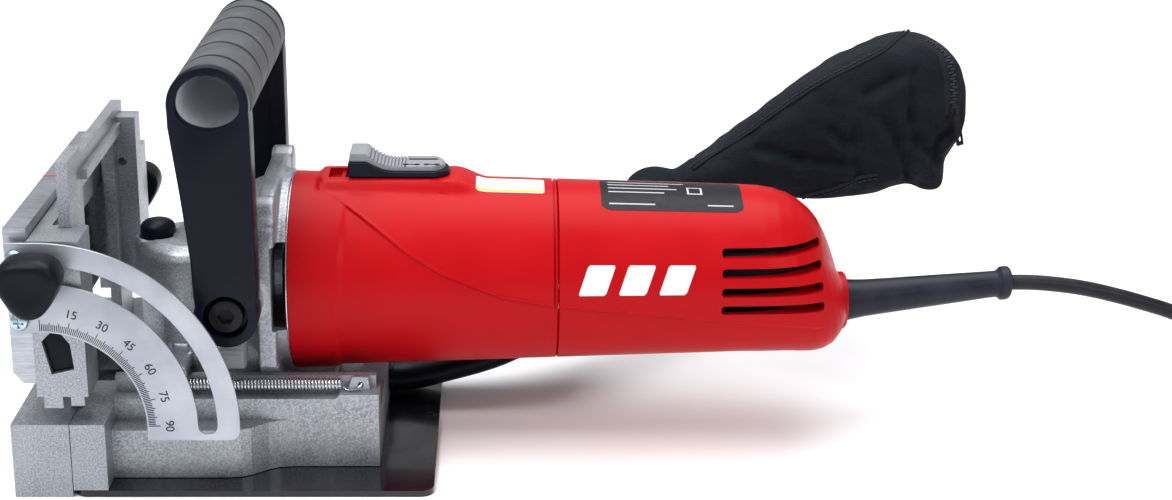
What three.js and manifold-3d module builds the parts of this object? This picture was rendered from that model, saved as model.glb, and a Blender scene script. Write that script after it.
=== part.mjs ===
// Biscuit joiner (plate joiner) with a swinging fence, bow handle, dust bag and mains lead.
// Millimetres. +X points to the cable end, -X to the working face, +Z up.
// Origin: underside of the sole plate, straight below the blade spindle.
import * as THREE from 'three';
import { mergeVertices } from 'three/addons/utils/BufferGeometryUtils.js';
import Module from 'manifold-3d';

const wasm = await Module();
wasm.setup();

// ---- driving dimensions ----
const GAP = 0.3; // clearance between touching pieces
const ROUND = 30; // facets of a large round shape
const SMALL = 14; // facets of a small round shape
const BASE_HALF = 68; // half width of the sole
const SOLE_T = 2.5; // sole plate thickness
const SOLE_REAR = 97;
const FACE_X = -61; // working face
const FACE_BACK = -39.2; // rear of the front plate
const FLANGE_REAR = -25.8; // rear of the housing's front flange
const BLOCK_TOP = 29.6;
const BLADE_R = 50;
const BLADE_Z = 10;
const SLOT_HALF_H = 3; // half height of the blade slot
const SLOT_HALF_W = 49;
const RAIL_IN = 36; // inner face of the slide rails
const RAIL_OUT = 47;
const RAIL_TOP = 31;
const HOUSING_REAR = 75.4;
const ROOF_Z = 15.5; // underside of the blade chamber's roof
const ROOF_TOP = 18.2;
const MOTOR_Z = 67.4; // motor axis height
const MOTOR_FRONT = 40.6;
const MOTOR_SEAM = 144.4;
const MOTOR_REAR = 262;
const MOTOR_R = 39.6; // motor housing radius at its front
const VENT_Z = 62.1; // lowest of the cooling slots
const VENT_PITCH = 7.3;
const VENT_FRONT = 205.5;
const VENT_REAR = 246.5;
const WALL = 3;
const PIVOT_X = -46.5; // virtual hinge line of the fence
const PIVOT_Z = 30.4;
const ARC_IN = 37.2; // quadrant radii
const ARC_SLOT = 59.8;
const ARC_OUT = 71.8;
const SLOT_HALF = 3.6;
const CHEEK_OUT = 68;
const CHEEK_IN = 49;
const HANDLE_X = 20.3; // handle bolt
const HANDLE_Z = 70;
const GRIP_X = 17;
const GRIP_Z = 150.7;
const GRIP_R = 14.9;
const CORD_R = 3.1;
const BOOT_Z = 61.5;
const COIL_X = 505;
const COIL_Y = 34;
const COIL_R = 36; // radius at the middle of the coil's turns
const COIL_HALF = 12.4; // half width of the bundle, and its height

// ---- solids ----
function solid(geometry) {
  geometry.deleteAttribute('normal');
  geometry.deleteAttribute('uv');
  const merged = mergeVertices(geometry, 1e-4);
  const position = merged.attributes.position;
  const index = merged.index.array;
  const corner = (i) => new THREE.Vector3().fromBufferAttribute(position, i);
  const triangles = [];
  let volume = 0;
  for (let i = 0; i < index.length; i += 3) {
    const [a, b, c] = [index[i], index[i + 1], index[i + 2]];
    if (a === b || b === c || c === a) continue;
    triangles.push(a, b, c);
    volume += corner(a).dot(corner(b).cross(corner(c)));
  }
  if (volume < 0) triangles.reverse();
  return new wasm.Manifold(new wasm.Mesh({
    numProp: 3,
    vertProperties: new Float32Array(position.array),
    triVerts: new Uint32Array(triangles),
  }));
}

function geometryOf(body) {
  const mesh = body.getMesh();
  const geometry = new THREE.BufferGeometry();
  geometry.setAttribute('position', new THREE.BufferAttribute(new Float32Array(mesh.vertProperties), 3));
  geometry.setIndex(new THREE.BufferAttribute(new Uint32Array(mesh.triVerts), 1));
  geometry.computeVertexNormals();
  return geometry;
}

function join(first, ...others) {
  return others.reduce((sum, body) => sum.add(body), first);
}

function cut(first, ...others) {
  return others.reduce((rest, body) => rest.subtract(body), first);
}

// box from its low and high X, Y and Z
function box(x0, x1, y0, y1, z0, z1) {
  const geometry = new THREE.BoxGeometry(x1 - x0, y1 - y0, z1 - z0);
  return solid(geometry.translate((x0 + x1) / 2, (y0 + y1) / 2, (z0 + z1) / 2));
}

// pair of boxes mirrored across the centre plane
function boxPair(x0, x1, y0, y1, z0, z1) {
  return join(box(x0, x1, y0, y1, z0, z1), box(x0, x1, -y1, -y0, z0, z1));
}

// cylinder along an axis, from one coordinate on it to another
function rodX(y, z, r, x0, x1, facets = SMALL) {
  const geometry = new THREE.CylinderGeometry(r, r, x1 - x0, facets).rotateZ(Math.PI / 2);
  return solid(geometry.translate((x0 + x1) / 2, y, z));
}

function rodY(x, z, r, y0, y1, facets = SMALL) {
  const geometry = new THREE.CylinderGeometry(r, r, y1 - y0, facets);
  return solid(geometry.translate(x, (y0 + y1) / 2, z));
}

function rodZ(x, y, r, z0, z1, facets = SMALL) {
  const geometry = new THREE.CylinderGeometry(r, r, z1 - z0, facets).rotateX(Math.PI / 2);
  return solid(geometry.translate(x, y, (z0 + z1) / 2));
}

// turned shape about the X axis line at height z, profile of [x, radius]
function turnedX(profile, z, facets = ROUND) {
  const points = profile.map(([x, r]) => new THREE.Vector2(r, x));
  return solid(new THREE.LatheGeometry(points, facets).rotateZ(-Math.PI / 2).translate(0, 0, z));
}

// turned shape about a vertical line, profile of [z, radius]
function turnedZ(profile, x, y, facets = ROUND) {
  const points = profile.map(([z, r]) => new THREE.Vector2(r, z));
  return solid(new THREE.LatheGeometry(points, facets).rotateX(Math.PI / 2).translate(x, y, 0));
}

// ring with a square section: a closed profile that never reaches the axis
function ringX(x0, x1, rIn, rOut, z, facets = ROUND) {
  return turnedX([[x0, rIn], [x0, rOut], [x1, rOut], [x1, rIn], [x0, rIn]], z, facets);
}

function ringZ(z0, z1, rIn, rOut, x, y, facets = ROUND) {
  return turnedZ([[z0, rIn], [z0, rOut], [z1, rOut], [z1, rIn], [z0, rIn]], x, y, facets);
}

function extrude(shape, depth, curveSegments = 10) {
  return new THREE.ExtrudeGeometry(shape, { depth, bevelEnabled: false, curveSegments });
}

// outline in plan, extruded upwards
function slabZ(shape, z0, z1, curveSegments) {
  return solid(extrude(shape, z1 - z0, curveSegments).translate(0, 0, z0));
}

// outline in side view (X, Z), extruded along Y
function slabY(shape, y0, y1, curveSegments) {
  return solid(extrude(shape, y1 - y0, curveSegments).rotateX(Math.PI / 2).translate(0, y1, 0));
}

// outline in front view (Y, Z), extruded along X
function slabX(shape, x0, x1, curveSegments) {
  const geometry = extrude(shape, x1 - x0, curveSegments);
  return solid(geometry.rotateX(Math.PI / 2).rotateZ(Math.PI / 2).translate(x0, 0, 0));
}

function polygon(points) {
  return new THREE.Shape(points.map(([u, v]) => new THREE.Vector2(u, v)));
}

function roundedRect(u0, u1, v0, v1, r) {
  const shape = new THREE.Shape();
  shape.moveTo(u0 + r, v0);
  shape.lineTo(u1 - r, v0);
  shape.absarc(u1 - r, v0 + r, r, -Math.PI / 2, 0, false);
  shape.lineTo(u1, v1 - r);
  shape.absarc(u1 - r, v1 - r, r, 0, Math.PI / 2, false);
  shape.lineTo(u0 + r, v1);
  shape.absarc(u0 + r, v1 - r, r, Math.PI / 2, Math.PI, false);
  shape.lineTo(u0, v0 + r);
  shape.absarc(u0 + r, v0 + r, r, Math.PI, 1.5 * Math.PI, false);
  return shape;
}

// closed outline r(angle) about a centre
function polarShape(cx, cy, radius, count) {
  const points = [];
  for (let i = 0; i < count; i += 1) {
    const angle = (2 * Math.PI * i) / count;
    points.push([cx + radius(angle, i) * Math.cos(angle), cy + radius(angle, i) * Math.sin(angle)]);
  }
  return polygon(points);
}

function gearShape(teeth, rRoot, rTip) {
  const perTooth = 4;
  return polarShape(0, 0, (angle, i) => (i % perTooth < 2 ? rTip : rRoot), teeth * perTooth);
}

// section swept along a route
function swept(shape, points, steps) {
  const path = new THREE.CatmullRomCurve3(points.map((p) => new THREE.Vector3(...p)));
  const options = { steps, bevelEnabled: false, extrudePath: path, curveSegments: 6 };
  return solid(new THREE.ExtrudeGeometry(shape, options));
}

// ---- materials and the scene graph ----
const FINISH = {
  castAluminium: [0x9aa0a8, 0.55, 0.8],
  plateAluminium: [0xb4b9c4, 0.4, 0.85],
  steel: [0xb9bdc2, 0.3, 0.95],
  blackSteel: [0x15161a, 0.25, 0.7],
  zinc: [0x8fa9b5, 0.3, 0.9],
  blackPlastic: [0x14171f, 0.5, 0],
  redPlastic: [0xc00c16, 0.38, 0],
  greyRubber: [0x77777c, 0.85, 0],
  blackRubber: [0x16181d, 0.8, 0],
  bagCloth: [0x1c1f29, 0.95, 0],
  copper: [0xa85a2a, 0.4, 0.8],
  brass: [0xb09040, 0.35, 0.9],
  greyPlastic: [0xa5a6aa, 0.5, 0],
};

const joiner = new THREE.Group();
const groups = {};
for (const name of ['standing', 'carriage', 'fence', 'motorUnit', 'rotor', 'spindle']) {
  groups[name] = new THREE.Group();
  joiner.add(groups[name]);
}

function add(group, name, finish, body, place = [0, 0, 0]) {
  const [color, roughness, metalness] = FINISH[finish];
  const material = new THREE.MeshStandardMaterial({ color, roughness, metalness });
  const mesh = new THREE.Mesh(geometryOf(body), material);
  mesh.name = name;
  mesh.position.set(...place);
  groups[group].add(mesh);
}

const SIDES = [['left', -1], ['right', 1]];

// ---- standing part ----
function solePlate() {
  return slabZ(roundedRect(FACE_BACK + GAP, SOLE_REAR, -BASE_HALF, BASE_HALF, 5), 0, SOLE_T, 3);
}

function frontPlate() {
  const bar = box(FACE_X, FACE_BACK, -BASE_HALF, BASE_HALF, 0, BLOCK_TOP);
  const slotLow = BLADE_Z - SLOT_HALF_H;
  const slot = box(FACE_X - 1, FACE_BACK + 1, -SLOT_HALF_W, SLOT_HALF_W, slotLow, BLADE_Z + SLOT_HALF_H);
  const noseNotch = box(-49, FACE_BACK + 1, -25.5, 25.5, BLADE_Z, BLOCK_TOP + 1);
  const padHoles = SIDES.map(([, side]) => rodX(side * 57, 10, 5.3, FACE_X - 1, FACE_X + 3));
  return cut(bar, slot, noseNotch, ...padHoles);
}

function chamberOutline() {
  const shape = new THREE.Shape();
  shape.moveTo(FLANGE_REAR - 1, -57);
  shape.lineTo(18, -57);
  shape.bezierCurveTo(30, -57, 30, -RAIL_OUT, 42, -RAIL_OUT);
  shape.lineTo(HOUSING_REAR, -RAIL_OUT);
  shape.lineTo(HOUSING_REAR, RAIL_OUT);
  shape.lineTo(42, RAIL_OUT);
  shape.bezierCurveTo(30, RAIL_OUT, 30, 57, 18, 57);
  shape.lineTo(FLANGE_REAR - 1, 57);
  return shape;
}

function rearStep(side) {
  const step = polygon([[56, 28], [60.5, 32.7], [HOUSING_REAR, 32.7], [HOUSING_REAR, 28]]);
  const y0 = side > 0 ? RAIL_IN : -RAIL_OUT;
  return slabY(step, y0, y0 + RAIL_OUT - RAIL_IN);
}

function springTab(side) {
  const tab = polygon([[63, 32], [65.2, 38.4], [71.2, 38.4], [72, 32]]);
  const ear = slabY(tab, side * 42.6 - 0.7, side * 42.6 + 0.7);
  return cut(ear, rodY(68.4, 35.3, 1.2, side * 42.6 - 2, side * 42.6 + 2, 10));
}

function baseHousing() {
  const low = SOLE_T + GAP;
  const flange = box(FACE_BACK + GAP, FLANGE_REAR, -BASE_HALF, BASE_HALF, low, BLOCK_TOP);
  const chamber = slabZ(chamberOutline(), low, 22.3, 6);
  const rails = boxPair(FLANGE_REAR - 1, HOUSING_REAR, RAIL_IN, RAIL_OUT, low, RAIL_TOP);
  const lips = boxPair(FLANGE_REAR - 1, 74, RAIL_IN, 39.4, low, 37.6);
  const extras = SIDES.flatMap(([, side]) => [rearStep(side), springTab(side)]);
  const channel = box(FLANGE_REAR, 66, -RAIL_IN, RAIL_IN, ROOF_TOP, 60);
  const grooves = box(FLANGE_REAR, 66, -38.6, 38.6, 23.5, 28.5);
  const chamberRoom = join(
    rodZ(0, 0, 53, 0, ROOF_Z, ROUND),
    box(FACE_BACK - 1, 0, -53, 53, 0, ROOF_Z),
    box(40, 70, 21, 39, 0, ROOF_Z),
  );
  const outlet = box(68, HOUSING_REAR + 1, 21, 39, 4.5, 15);
  const spindleSlot = join(box(FACE_BACK - 1, 0, -17, 17, 10, 20), rodZ(0, 0, 17, 10, 20, ROUND));
  const noseNotch = box(FACE_BACK - 1, FLANGE_REAR + 0.5, -25.5, 25.5, 10, 60);
  const whole = join(flange, chamber, rails, lips, ...extras);
  return cut(whole, channel, grooves, chamberRoom, outlet, spindleSlot, noseNotch);
}

function guidePlate() {
  const low = BLOCK_TOP + GAP;
  const plate = box(-41.3, -36.9, -52, 52, low, 124);
  const tab = box(-41.3, -36.9, -52, -29, 100, 127);
  const ledge = box(-38, -34.6, -30, 40, 114, 118);
  const rib = box(-44, -29, 38, 48.5, 46, 120);
  const opening = box(-60, -20, -29, 29, 0, 111);
  const pinHole = rodY(-35, 101, 1.8, 30, 60, 12);
  return cut(join(plate, tab, ledge, rib), opening, pinHole);
}

function returnSpring(side) {
  return rodX(side * 42.6, 35.3, 2.5, -2.9, 61, 12);
}

function ductPort() {
  const route = [[75.8, 30, 9.8], [84, 30, 10.1], [97, 31, 12.9], [120, 34.5, 18.6], [141, 41, 27]];
  const section = (half, high) => new THREE.Shape().absellipse(0, 0, half, high, 0, 2 * Math.PI);
  const outer = swept(section(12, 6.6), route, 9);
  const long = [[70, 30, 9.8], ...route.slice(1), [150, 44, 31.5]];
  const inner = swept(section(9.5, 4.3), long, 10);
  return cut(outer, inner);
}

const NECK_START = new THREE.Vector3(141, 41, 27);
const BAG_AXIS_Y = 108;

function bagCuff() {
  const direction = new THREE.Vector3(19, 9, 11).normalize();
  const start = NECK_START.clone().addScaledVector(direction, 2.4);
  const points = [0, 9, 18].map((s) => start.clone().addScaledVector(direction, s).toArray());
  const ring = new THREE.Shape().absarc(0, 0, 13, 0, 2 * Math.PI);
  const bore = new THREE.Shape().absarc(0, 0, 10, 0, 2 * Math.PI);
  const beyond = [-4, 9, 24].map((s) => start.clone().addScaledVector(direction, s).toArray());
  return cut(swept(ring, points, 2), swept(bore, beyond, 2));
}

// cloth bag: neck that climbs behind the motor, then a flat sack with its high end to the rear
function dustBag() {
  const neckRoute = [[164, 54, 39.5], [174, 68, 52], [184, 82, 65], [194, 95, 76], [206, 104, 82]];
  const neck = swept(new THREE.Shape().absarc(0, 0, 12, 0, 2 * Math.PI), neckRoute, 6);
  const sack = new THREE.Shape();
  sack.moveTo(198, 72);
  sack.lineTo(262, 65);
  sack.lineTo(300, 69);
  sack.quadraticCurveTo(324, 66, 326, 86);
  sack.quadraticCurveTo(336, 112, 325, 132);
  sack.quadraticCurveTo(306, 148, 284, 136);
  sack.lineTo(232, 99);
  sack.lineTo(204, 84);
  const options = { depth: 38, bevelEnabled: true, bevelThickness: 12, bevelSize: 7, bevelOffset: -7,
    bevelSegments: 2, curveSegments: 6 };
  const body = new THREE.ExtrudeGeometry(sack, options);
  body.rotateX(Math.PI / 2).translate(0, BAG_AXIS_Y + 19, 0);
  return join(solid(body), neck);
}

function buildStanding() {
  add('standing', 'base_plate', 'blackSteel', solePlate());
  add('standing', 'front_plate', 'plateAluminium', frontPlate());
  add('standing', 'base_housing', 'castAluminium', baseHousing());
  add('standing', 'guide_plate', 'castAluminium', guidePlate());
  for (const [name, side] of SIDES) {
    const pad = join(rodX(0, 0, 5, 0, 2.4), rodX(0, 0, 4, -0.8, 0.2));
    add('standing', `grip_pad_${name}`, 'blackRubber', pad, [FACE_X, side * 57, 10]);
    add('standing', `return_spring_${name}`, 'steel', returnSpring(side));
  }
  add('standing', 'dust_port', 'blackPlastic', ductPort());
  add('standing', 'bag_cuff', 'blackRubber', bagCuff());
  add('standing', 'dust_bag', 'bagCloth', dustBag());
}

// ---- height carriage and fence ----
function cheek(side) {
  const outline = polygon([[-50, 41], [-31, 41], [-31, 102], [-50, 102]]);
  const y0 = side > 0 ? CHEEK_IN : -CHEEK_OUT;
  return slabY(outline, y0, y0 + CHEEK_OUT - CHEEK_IN);
}

function heightCarriage() {
  const crossbar = box(-50, -44.6, -CHEEK_IN - 1, CHEEK_IN + 1, 91.5, 102);
  const lugs = join(
    box(-47.5, -40.5, -CHEEK_OUT, -58, 36.5, 42),
    box(-37.5, -32.5, -CHEEK_OUT, -58, 37.5, 42),
  );
  const groove = boxPair(-41.7, -36.5, CHEEK_IN - 1, 52.4, 30, 110);
  const window = slabY(polygon([[-47, 63], [-41.5, 68.5], [-36.5, 62], [-35.5, 52], [-44, 50]]), -69, -60);
  const angleStud = rodY(PIVOT_X, PIVOT_Z + ARC_SLOT, 2.9, -69, -56, 12);
  const heightStud = rodY(-39, 78, 3.4, 50, 69, 12);
  return cut(join(cheek(1), cheek(-1), crossbar, lugs), groove, window, angleStud, heightStud);
}

// three-lobed knob with its stud, built about its own axis along -Y
function lobedKnob(studRadius, hubDepth, studLength) {
  const lobes = (size) => polarShape(0, 0, (angle) => size + 1.3 * Math.sin(3 * angle), 24);
  const head = slabY(lobes(11.2), -14.3, -1);
  const crown = slabY(lobes(9.6), -15.6, -14.2);
  const hub = rodY(0, 0, 5.2, -1.1, hubDepth, 16);
  const stud = rodY(0, 0, studRadius, hubDepth - 0.1, studLength, 16);
  return join(head, crown, hub, stud);
}

const FENCE_FRONT = -58.8;
const FENCE_BACK = -50.3;
const SCREWS = [['lower', -53.6, 72], ['upper', -53.9, 96.4]];

function angleFence() {
  const outline = polygon([
    [FENCE_FRONT, 50], [-55.2, 45.6], [FENCE_BACK, 45.6], [FENCE_BACK, 106.3], [FENCE_FRONT, 106.3]]);
  const plate = slabY(outline, -66, 66);
  const bays = [-1, 0, 1].map((i) => box(-54.6, FENCE_BACK + 1, i * 41 - 18.5, i * 41 + 18.5, 51, 101.9));
  const bosses = SCREWS.map(([, x, z]) => rodY(x, z, 3, -69.1, -65.9, 14));
  const taps = SCREWS.map(([, x, z]) => rodY(x, z, 1.9, -70, -57, 12));
  return cut(join(cut(plate, ...bays), ...bosses), ...taps);
}

function quadrantShape() {
  const shape = new THREE.Shape();
  shape.moveTo(-57.5, 66.9);
  shape.lineTo(-57.5, PIVOT_Z + ARC_OUT);
  shape.absarc(PIVOT_X, PIVOT_Z, ARC_OUT, Math.PI / 2, 0, true);
  shape.absarc(PIVOT_X + ARC_OUT - 4, 28.5, 4, 0, -Math.PI / 2, true);
  shape.lineTo(PIVOT_X + ARC_IN + 1, 24.5);
  shape.absarc(PIVOT_X, PIVOT_Z, ARC_IN, 0, Math.PI / 2, false);
  shape.lineTo(PIVOT_X, 66.9);
  const slot = new THREE.Path();
  slot.absarc(PIVOT_X, PIVOT_Z, ARC_SLOT + SLOT_HALF, 0, Math.PI / 2, false);
  slot.absarc(PIVOT_X, PIVOT_Z + ARC_SLOT, SLOT_HALF, Math.PI / 2, 1.5 * Math.PI, false);
  slot.absarc(PIVOT_X, PIVOT_Z, ARC_SLOT - SLOT_HALF, Math.PI / 2, 0, true);
  slot.absarc(PIVOT_X + ARC_SLOT, PIVOT_Z, SLOT_HALF, Math.PI, 2 * Math.PI, false);
  shape.holes.push(slot);
  return shape;
}

function angleQuadrant() {
  const sheet = slabY(quadrantShape(), -70.6, -69.4, 9);
  return cut(sheet, ...SCREWS.map(([, x, z]) => rodY(x, z, 1.9, -72, -68, 12)));
}

function buildFence() {
  add('carriage', 'height_carriage', 'castAluminium', heightCarriage());
  add('carriage', 'height_lock_knob', 'blackPlastic',
    lobedKnob(3, 3.4, 17).rotate([0, 0, 180]), [-39, 72, 78]);
  add('fence', 'angle_fence', 'plateAluminium', angleFence());
  add('fence', 'angle_quadrant', 'plateAluminium', angleQuadrant());
  for (const [name, x, z] of SCREWS) {
    const screw = join(rodY(0, 0, 3.4, -2.2, 0, 16), rodY(0, 0, 1.6, -0.1, 12, 12));
    add('fence', `quadrant_screw_${name}`, 'zinc', screw, [x, -70.9, z]);
  }
  add('fence', 'angle_knob', 'blackPlastic', lobedKnob(2.5, 2, 15), [PIVOT_X, -73, PIVOT_Z + ARC_SLOT]);
}

// ---- motor unit: gear case ----
const FLANGE_X = 29; // front of the square motor flange
const FAN_CHAMBER_R = 37;
const BUTTON_X = -14.5;

function gearCaseShell() {
  const cone = [[-8, 0], [-8, 16], [6, 25], [22, 35.5], [FLANGE_X + 1, 38], [FLANGE_X + 1, 0]];
  const barrel = turnedX(cone, MOTOR_Z);
  const nose = turnedZ([[18.6, 0], [18.6, 22], [78, 22], [82.5, 17], [82.5, 0]], 0, 0);
  const square = roundedRect(-41, 41, MOTOR_Z - 41, MOTOR_Z + 41, 17);
  const flange = slabX(square, FLANGE_X, 36.2, 3);
  const rim = turnedX([[36, 0], [36, 40.5], [MOTOR_FRONT - GAP, 40.5], [MOTOR_FRONT - GAP, 0]], MOTOR_Z);
  const foot = box(0, 36, -35.5, 35.5, 18.6, 33);
  const tail = box(30, 56, -35.5, 35.5, 18.6, 23.2);
  const front = box(-22, 1, -24.6, 24.6, 18.6, 31);
  const web = box(0, 36, -30, 30, 30, 50);
  const buttonBoss = rodZ(BUTTON_X, 0, 9.6, 58, 82, 24);
  return join(barrel, nose, flange, rim, foot, tail, front, web, buttonBoss);
}

function gearCaseSide(side) {
  const y = (from, to) => (side > 0 ? [from, to] : [-to, -from]);
  const handleBoss = rodY(HANDLE_X, HANDLE_Z, 11.2, ...y(18, 49.7), 24);
  const tongue = box(0.2, 56, ...y(30, 38.2), 24, 28);
  const arm = box(-8, 2, ...y(20, 45.2), 38.4, 43);
  const pin = rodZ(-5, side * 42.6, 1.4, 33.2, 38.6, 10);
  const lug = rodX(side * 35, MOTOR_Z + 35, 6.5, 28, 37);
  return join(handleBoss, tongue, arm, pin, lug);
}

function gearHousing() {
  const room = turnedX([[6.8, 0], [6.8, 19], [22, 31], [FLANGE_X, 34], [FLANGE_X, FAN_CHAMBER_R],
    [42, FAN_CHAMBER_R], [42, 0]], MOTOR_Z);
  const gearRoom = join(rodZ(0, 0, 18.6, 34, 73, 28), rodZ(0, 0, 4.6, 72, 78));
  const bearingSeat = join(rodZ(0, 0, 13.4, 21.9, 34.1, 24), rodZ(0, 0, 16.6, 17, 22, 24));
  const topSeat = rodZ(0, 0, 6.9, 77, 81, SMALL);
  const buttonBore = join(rodZ(BUTTON_X, 0, 7.4, 74, 84), rodZ(BUTTON_X, 0, 3.2, 60, 78, 12));
  const windows = boxPair(36.2, 42, 30, 50, 56, 90);
  const railClearance = boxPair(28, 42, 35.5, 60, 20, 41.5);
  const boltHoles = [[24, 52], [-52, -24]].map((span) => rodY(HANDLE_X, HANDLE_Z, 4.2, ...span, 14));
  const whole = join(gearCaseShell(), gearCaseSide(1), gearCaseSide(-1));
  return cut(whole, room, gearRoom, bearingSeat, topSeat, buttonBore, windows, railClearance, ...boltHoles);
}

function spindleBearings() {
  add('motorUnit', 'spindle_bearing_lower', 'steel', ringZ(22.2, 31, 6.1, 13.1, 0, 0, 24));
  add('motorUnit', 'bearing_cap', 'steel', ringZ(18.9, 21.8, 8, 16.3, 0, 0, 24));
  add('motorUnit', 'spindle_bearing_upper', 'brass', ringZ(77.2, 80.7, 4.3, 6.6, 0, 0, 16));
}

// ---- handle ----
function handleArm(side) {
  const inner = 49.9;
  const outer = 62;
  const [y0, y1] = side > 0 ? [inner, outer] : [-outer, -inner];
  const blade = polygon([[9.2, 76], [8.2, 92], [5.4, 118], [2.1, GRIP_Z], [31.9, GRIP_Z], [32, 76]]);
  const arm = join(
    slabY(blade, y0, y1),
    rodY(HANDLE_X, HANDLE_Z, 12, y0, y1, 28),
    rodY(GRIP_X, GRIP_Z, GRIP_R, y0, y1, 32),
  );
  const seat = side > 0 ? [55, 63] : [-63, -55];
  const bore = rodY(GRIP_X, GRIP_Z + 0.6, 11.6, y0 - 1, y1 + 1, 28);
  const hole = rodY(HANDLE_X, HANDLE_Z, 4.3, y0 - 1, y1 + 1, 14);
  return cut(arm, bore, hole, rodY(HANDLE_X, HANDLE_Z, 8.2, ...seat, 24));
}

function buildHandle() {
  for (const [name, side] of SIDES) {
    add('motorUnit', `handle_arm_${name}`, 'blackPlastic', handleArm(side));
    const [head, shank] = side > 0 ? [[55.3, 61], [27, 55.4]] : [[-61, -55.3], [-55.4, -27]];
    const socket = side > 0 ? [58, 62] : [-62, -58];
    const blank = join(rodY(0, 0, 6.5, ...head, 18), rodY(0, 0, 3.9, ...shank, 14));
    const bolt = cut(blank, rodY(0, 0, 3.4, ...socket, 6));
    add('motorUnit', `handle_bolt_${name}`, 'blackSteel', bolt, [HANDLE_X, 0, HANDLE_Z]);
  }
  const tube = cut(rodY(GRIP_X, GRIP_Z, 13, -49.6, 49.6, 32), rodY(GRIP_X, GRIP_Z, 11, -51, 51, 24));
  add('motorUnit', 'grip_tube', 'blackPlastic', tube);
  const sleeve = cut(rodY(GRIP_X, GRIP_Z, GRIP_R, -47, 47, 32), rodY(GRIP_X, GRIP_Z, 13.3, -51, 51, 32));
  add('motorUnit', 'grip_sleeve', 'greyRubber', sleeve);
}

// ---- motor ----
function radiusAt(x) {
  return MOTOR_R - (x - MOTOR_FRONT) * 0.0318;
}

function motorHousing() {
  const r0 = radiusAt(MOTOR_FRONT);
  const r1 = radiusAt(MOTOR_SEAM);
  const profile = [[MOTOR_FRONT, r0 - WALL], [MOTOR_FRONT, r0], [MOTOR_SEAM, r1], [MOTOR_SEAM, r1 - WALL],
    [MOTOR_FRONT, r0 - WALL]];
  const shell = turnedX(profile, MOTOR_Z);
  const pad = box(52, 114, -7, 7, 102.4, 107.8);
  const linkSlot = box(70, 98, -4, 4, 90, 110);
  return cut(join(shell, pad), linkSlot);
}

function rearHousing() {
  const start = MOTOR_SEAM + GAP;
  const r0 = radiusAt(start);
  const r1 = radiusAt(218);
  const outer = [[start, r0 - WALL], [start, r0], [218, r1], [236, r1 - 2.2], [249, r1 - 7.5],
    [257, r1 - 14.5], [MOTOR_REAR, r1 - 22], [MOTOR_REAR, 0]];
  const inner = [[258.5, 0], [258.5, r1 - 23], [246, r1 - 11.5], [232, r1 - 5], [216, r1 - WALL],
    [start, r0 - WALL]];
  const shell = turnedX([...outer, ...inner], MOTOR_Z);
  const vents = SIDES.flatMap(([, side]) => [0, 1, 2, 3].map((row) => {
    const z = VENT_Z + row * VENT_PITCH;
    const [y0, y1] = side > 0 ? [10, 60] : [-60, -10];
    return box(VENT_FRONT, VENT_REAR, y0, y1, z - 1.85, z + 1.85);
  }));
  const exit = rodX(0, BOOT_Z, 9.4, 254, 266, 24);
  return cut(shell, ...vents, exit);
}

function stator() {
  const core = ringX(72, 122, 21.6, 32.6, MOTOR_Z, 24);
  const windings = ringX(62, 132, 23.5, 29.5, MOTOR_Z, 24);
  return join(core, windings).intersect(box(50, 140, -40, 40, MOTOR_Z - 29, MOTOR_Z + 29));
}

function bearingPlate() {
  const profile = [[31, 14.5], [31, 36.6], [33.5, 36.6], [33.5, 18], [36.5, 18], [36.5, 14.5], [31, 14.5]];
  return turnedX(profile, MOTOR_Z, 24);
}

function bearingBridge() {
  const plate = ringX(158, 164, 11.4, 31, MOTOR_Z, 28);
  return plate.intersect(box(150, 170, -40, 40, MOTOR_Z - 29, MOTOR_Z + 28.6));
}

function brushHolder(side) {
  const [y0, y1] = side > 0 ? [16, 31.5] : [-31.5, -16];
  return cut(box(137, 149, y0, y1, 62, 72.8), box(139.4, 146.6, y0 - 1, y1 + 1, 64.4, 70.4));
}

function brush(side) {
  const [y0, y1] = side > 0 ? [13, 26] : [-26, -13];
  return box(139.7, 146.3, y0, y1, 64.7, 70.1);
}

function cableBoot() {
  const profile = [[249.5, 0], [249.5, 10.2], [252, 10.2], [252, 8.8], [264, 8.8], [266, 8.2], [323, 5.5],
    [323.4, 6.4], [327, 6.4], [327, 0]];
  return turnedX(profile, BOOT_Z, 20);
}

// the lead's route: out of the boot, down to the bench and into the coil's outer turn
const CORD_ROUTE = [
  [327.3, 0, 61.5], [336, 0, 61.4], [346, 0, 60.6], [358, 0, 58.8], [370, 0, 56], [382, 0, 52.6],
  [394, 0, 48.7], [405, 0, 44], [416, -0.1, 38], [426, -0.5, 31.4], [436, -1.2, 24.4], [446, -2.3, 17.4],
  [456, -3.8, 11.2], [466, -5.6, 6.6], [474, -7.1, 4.5], [482, -8.6, 3.5], [490, -9.9, 3.1],
  [498, -10.9, 3.1], [505, -11.3, 3.1]];
const TUBE_POINTS = 15; // the route's points before the coil's own space

function buildCord() {
  const section = new THREE.Shape().absarc(0, 0, CORD_R, 0, 2 * Math.PI);
  const points = CORD_ROUTE.slice(0, TUBE_POINTS).map((p) => new THREE.Vector3(...p));
  const extrudePath = new THREE.CatmullRomCurve3(points);
  const options = { steps: 24, bevelEnabled: false, extrudePath, curveSegments: 5 };
  add('motorUnit', 'power_cord', 'blackRubber', solid(new THREE.ExtrudeGeometry(section, options)));
  const ring = ringZ(0.1, COIL_HALF, COIL_R - COIL_HALF, COIL_R + COIL_HALF, COIL_X, COIL_Y, 28);
  add('motorUnit', 'cord_coil', 'blackRubber', ring);
}

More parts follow.
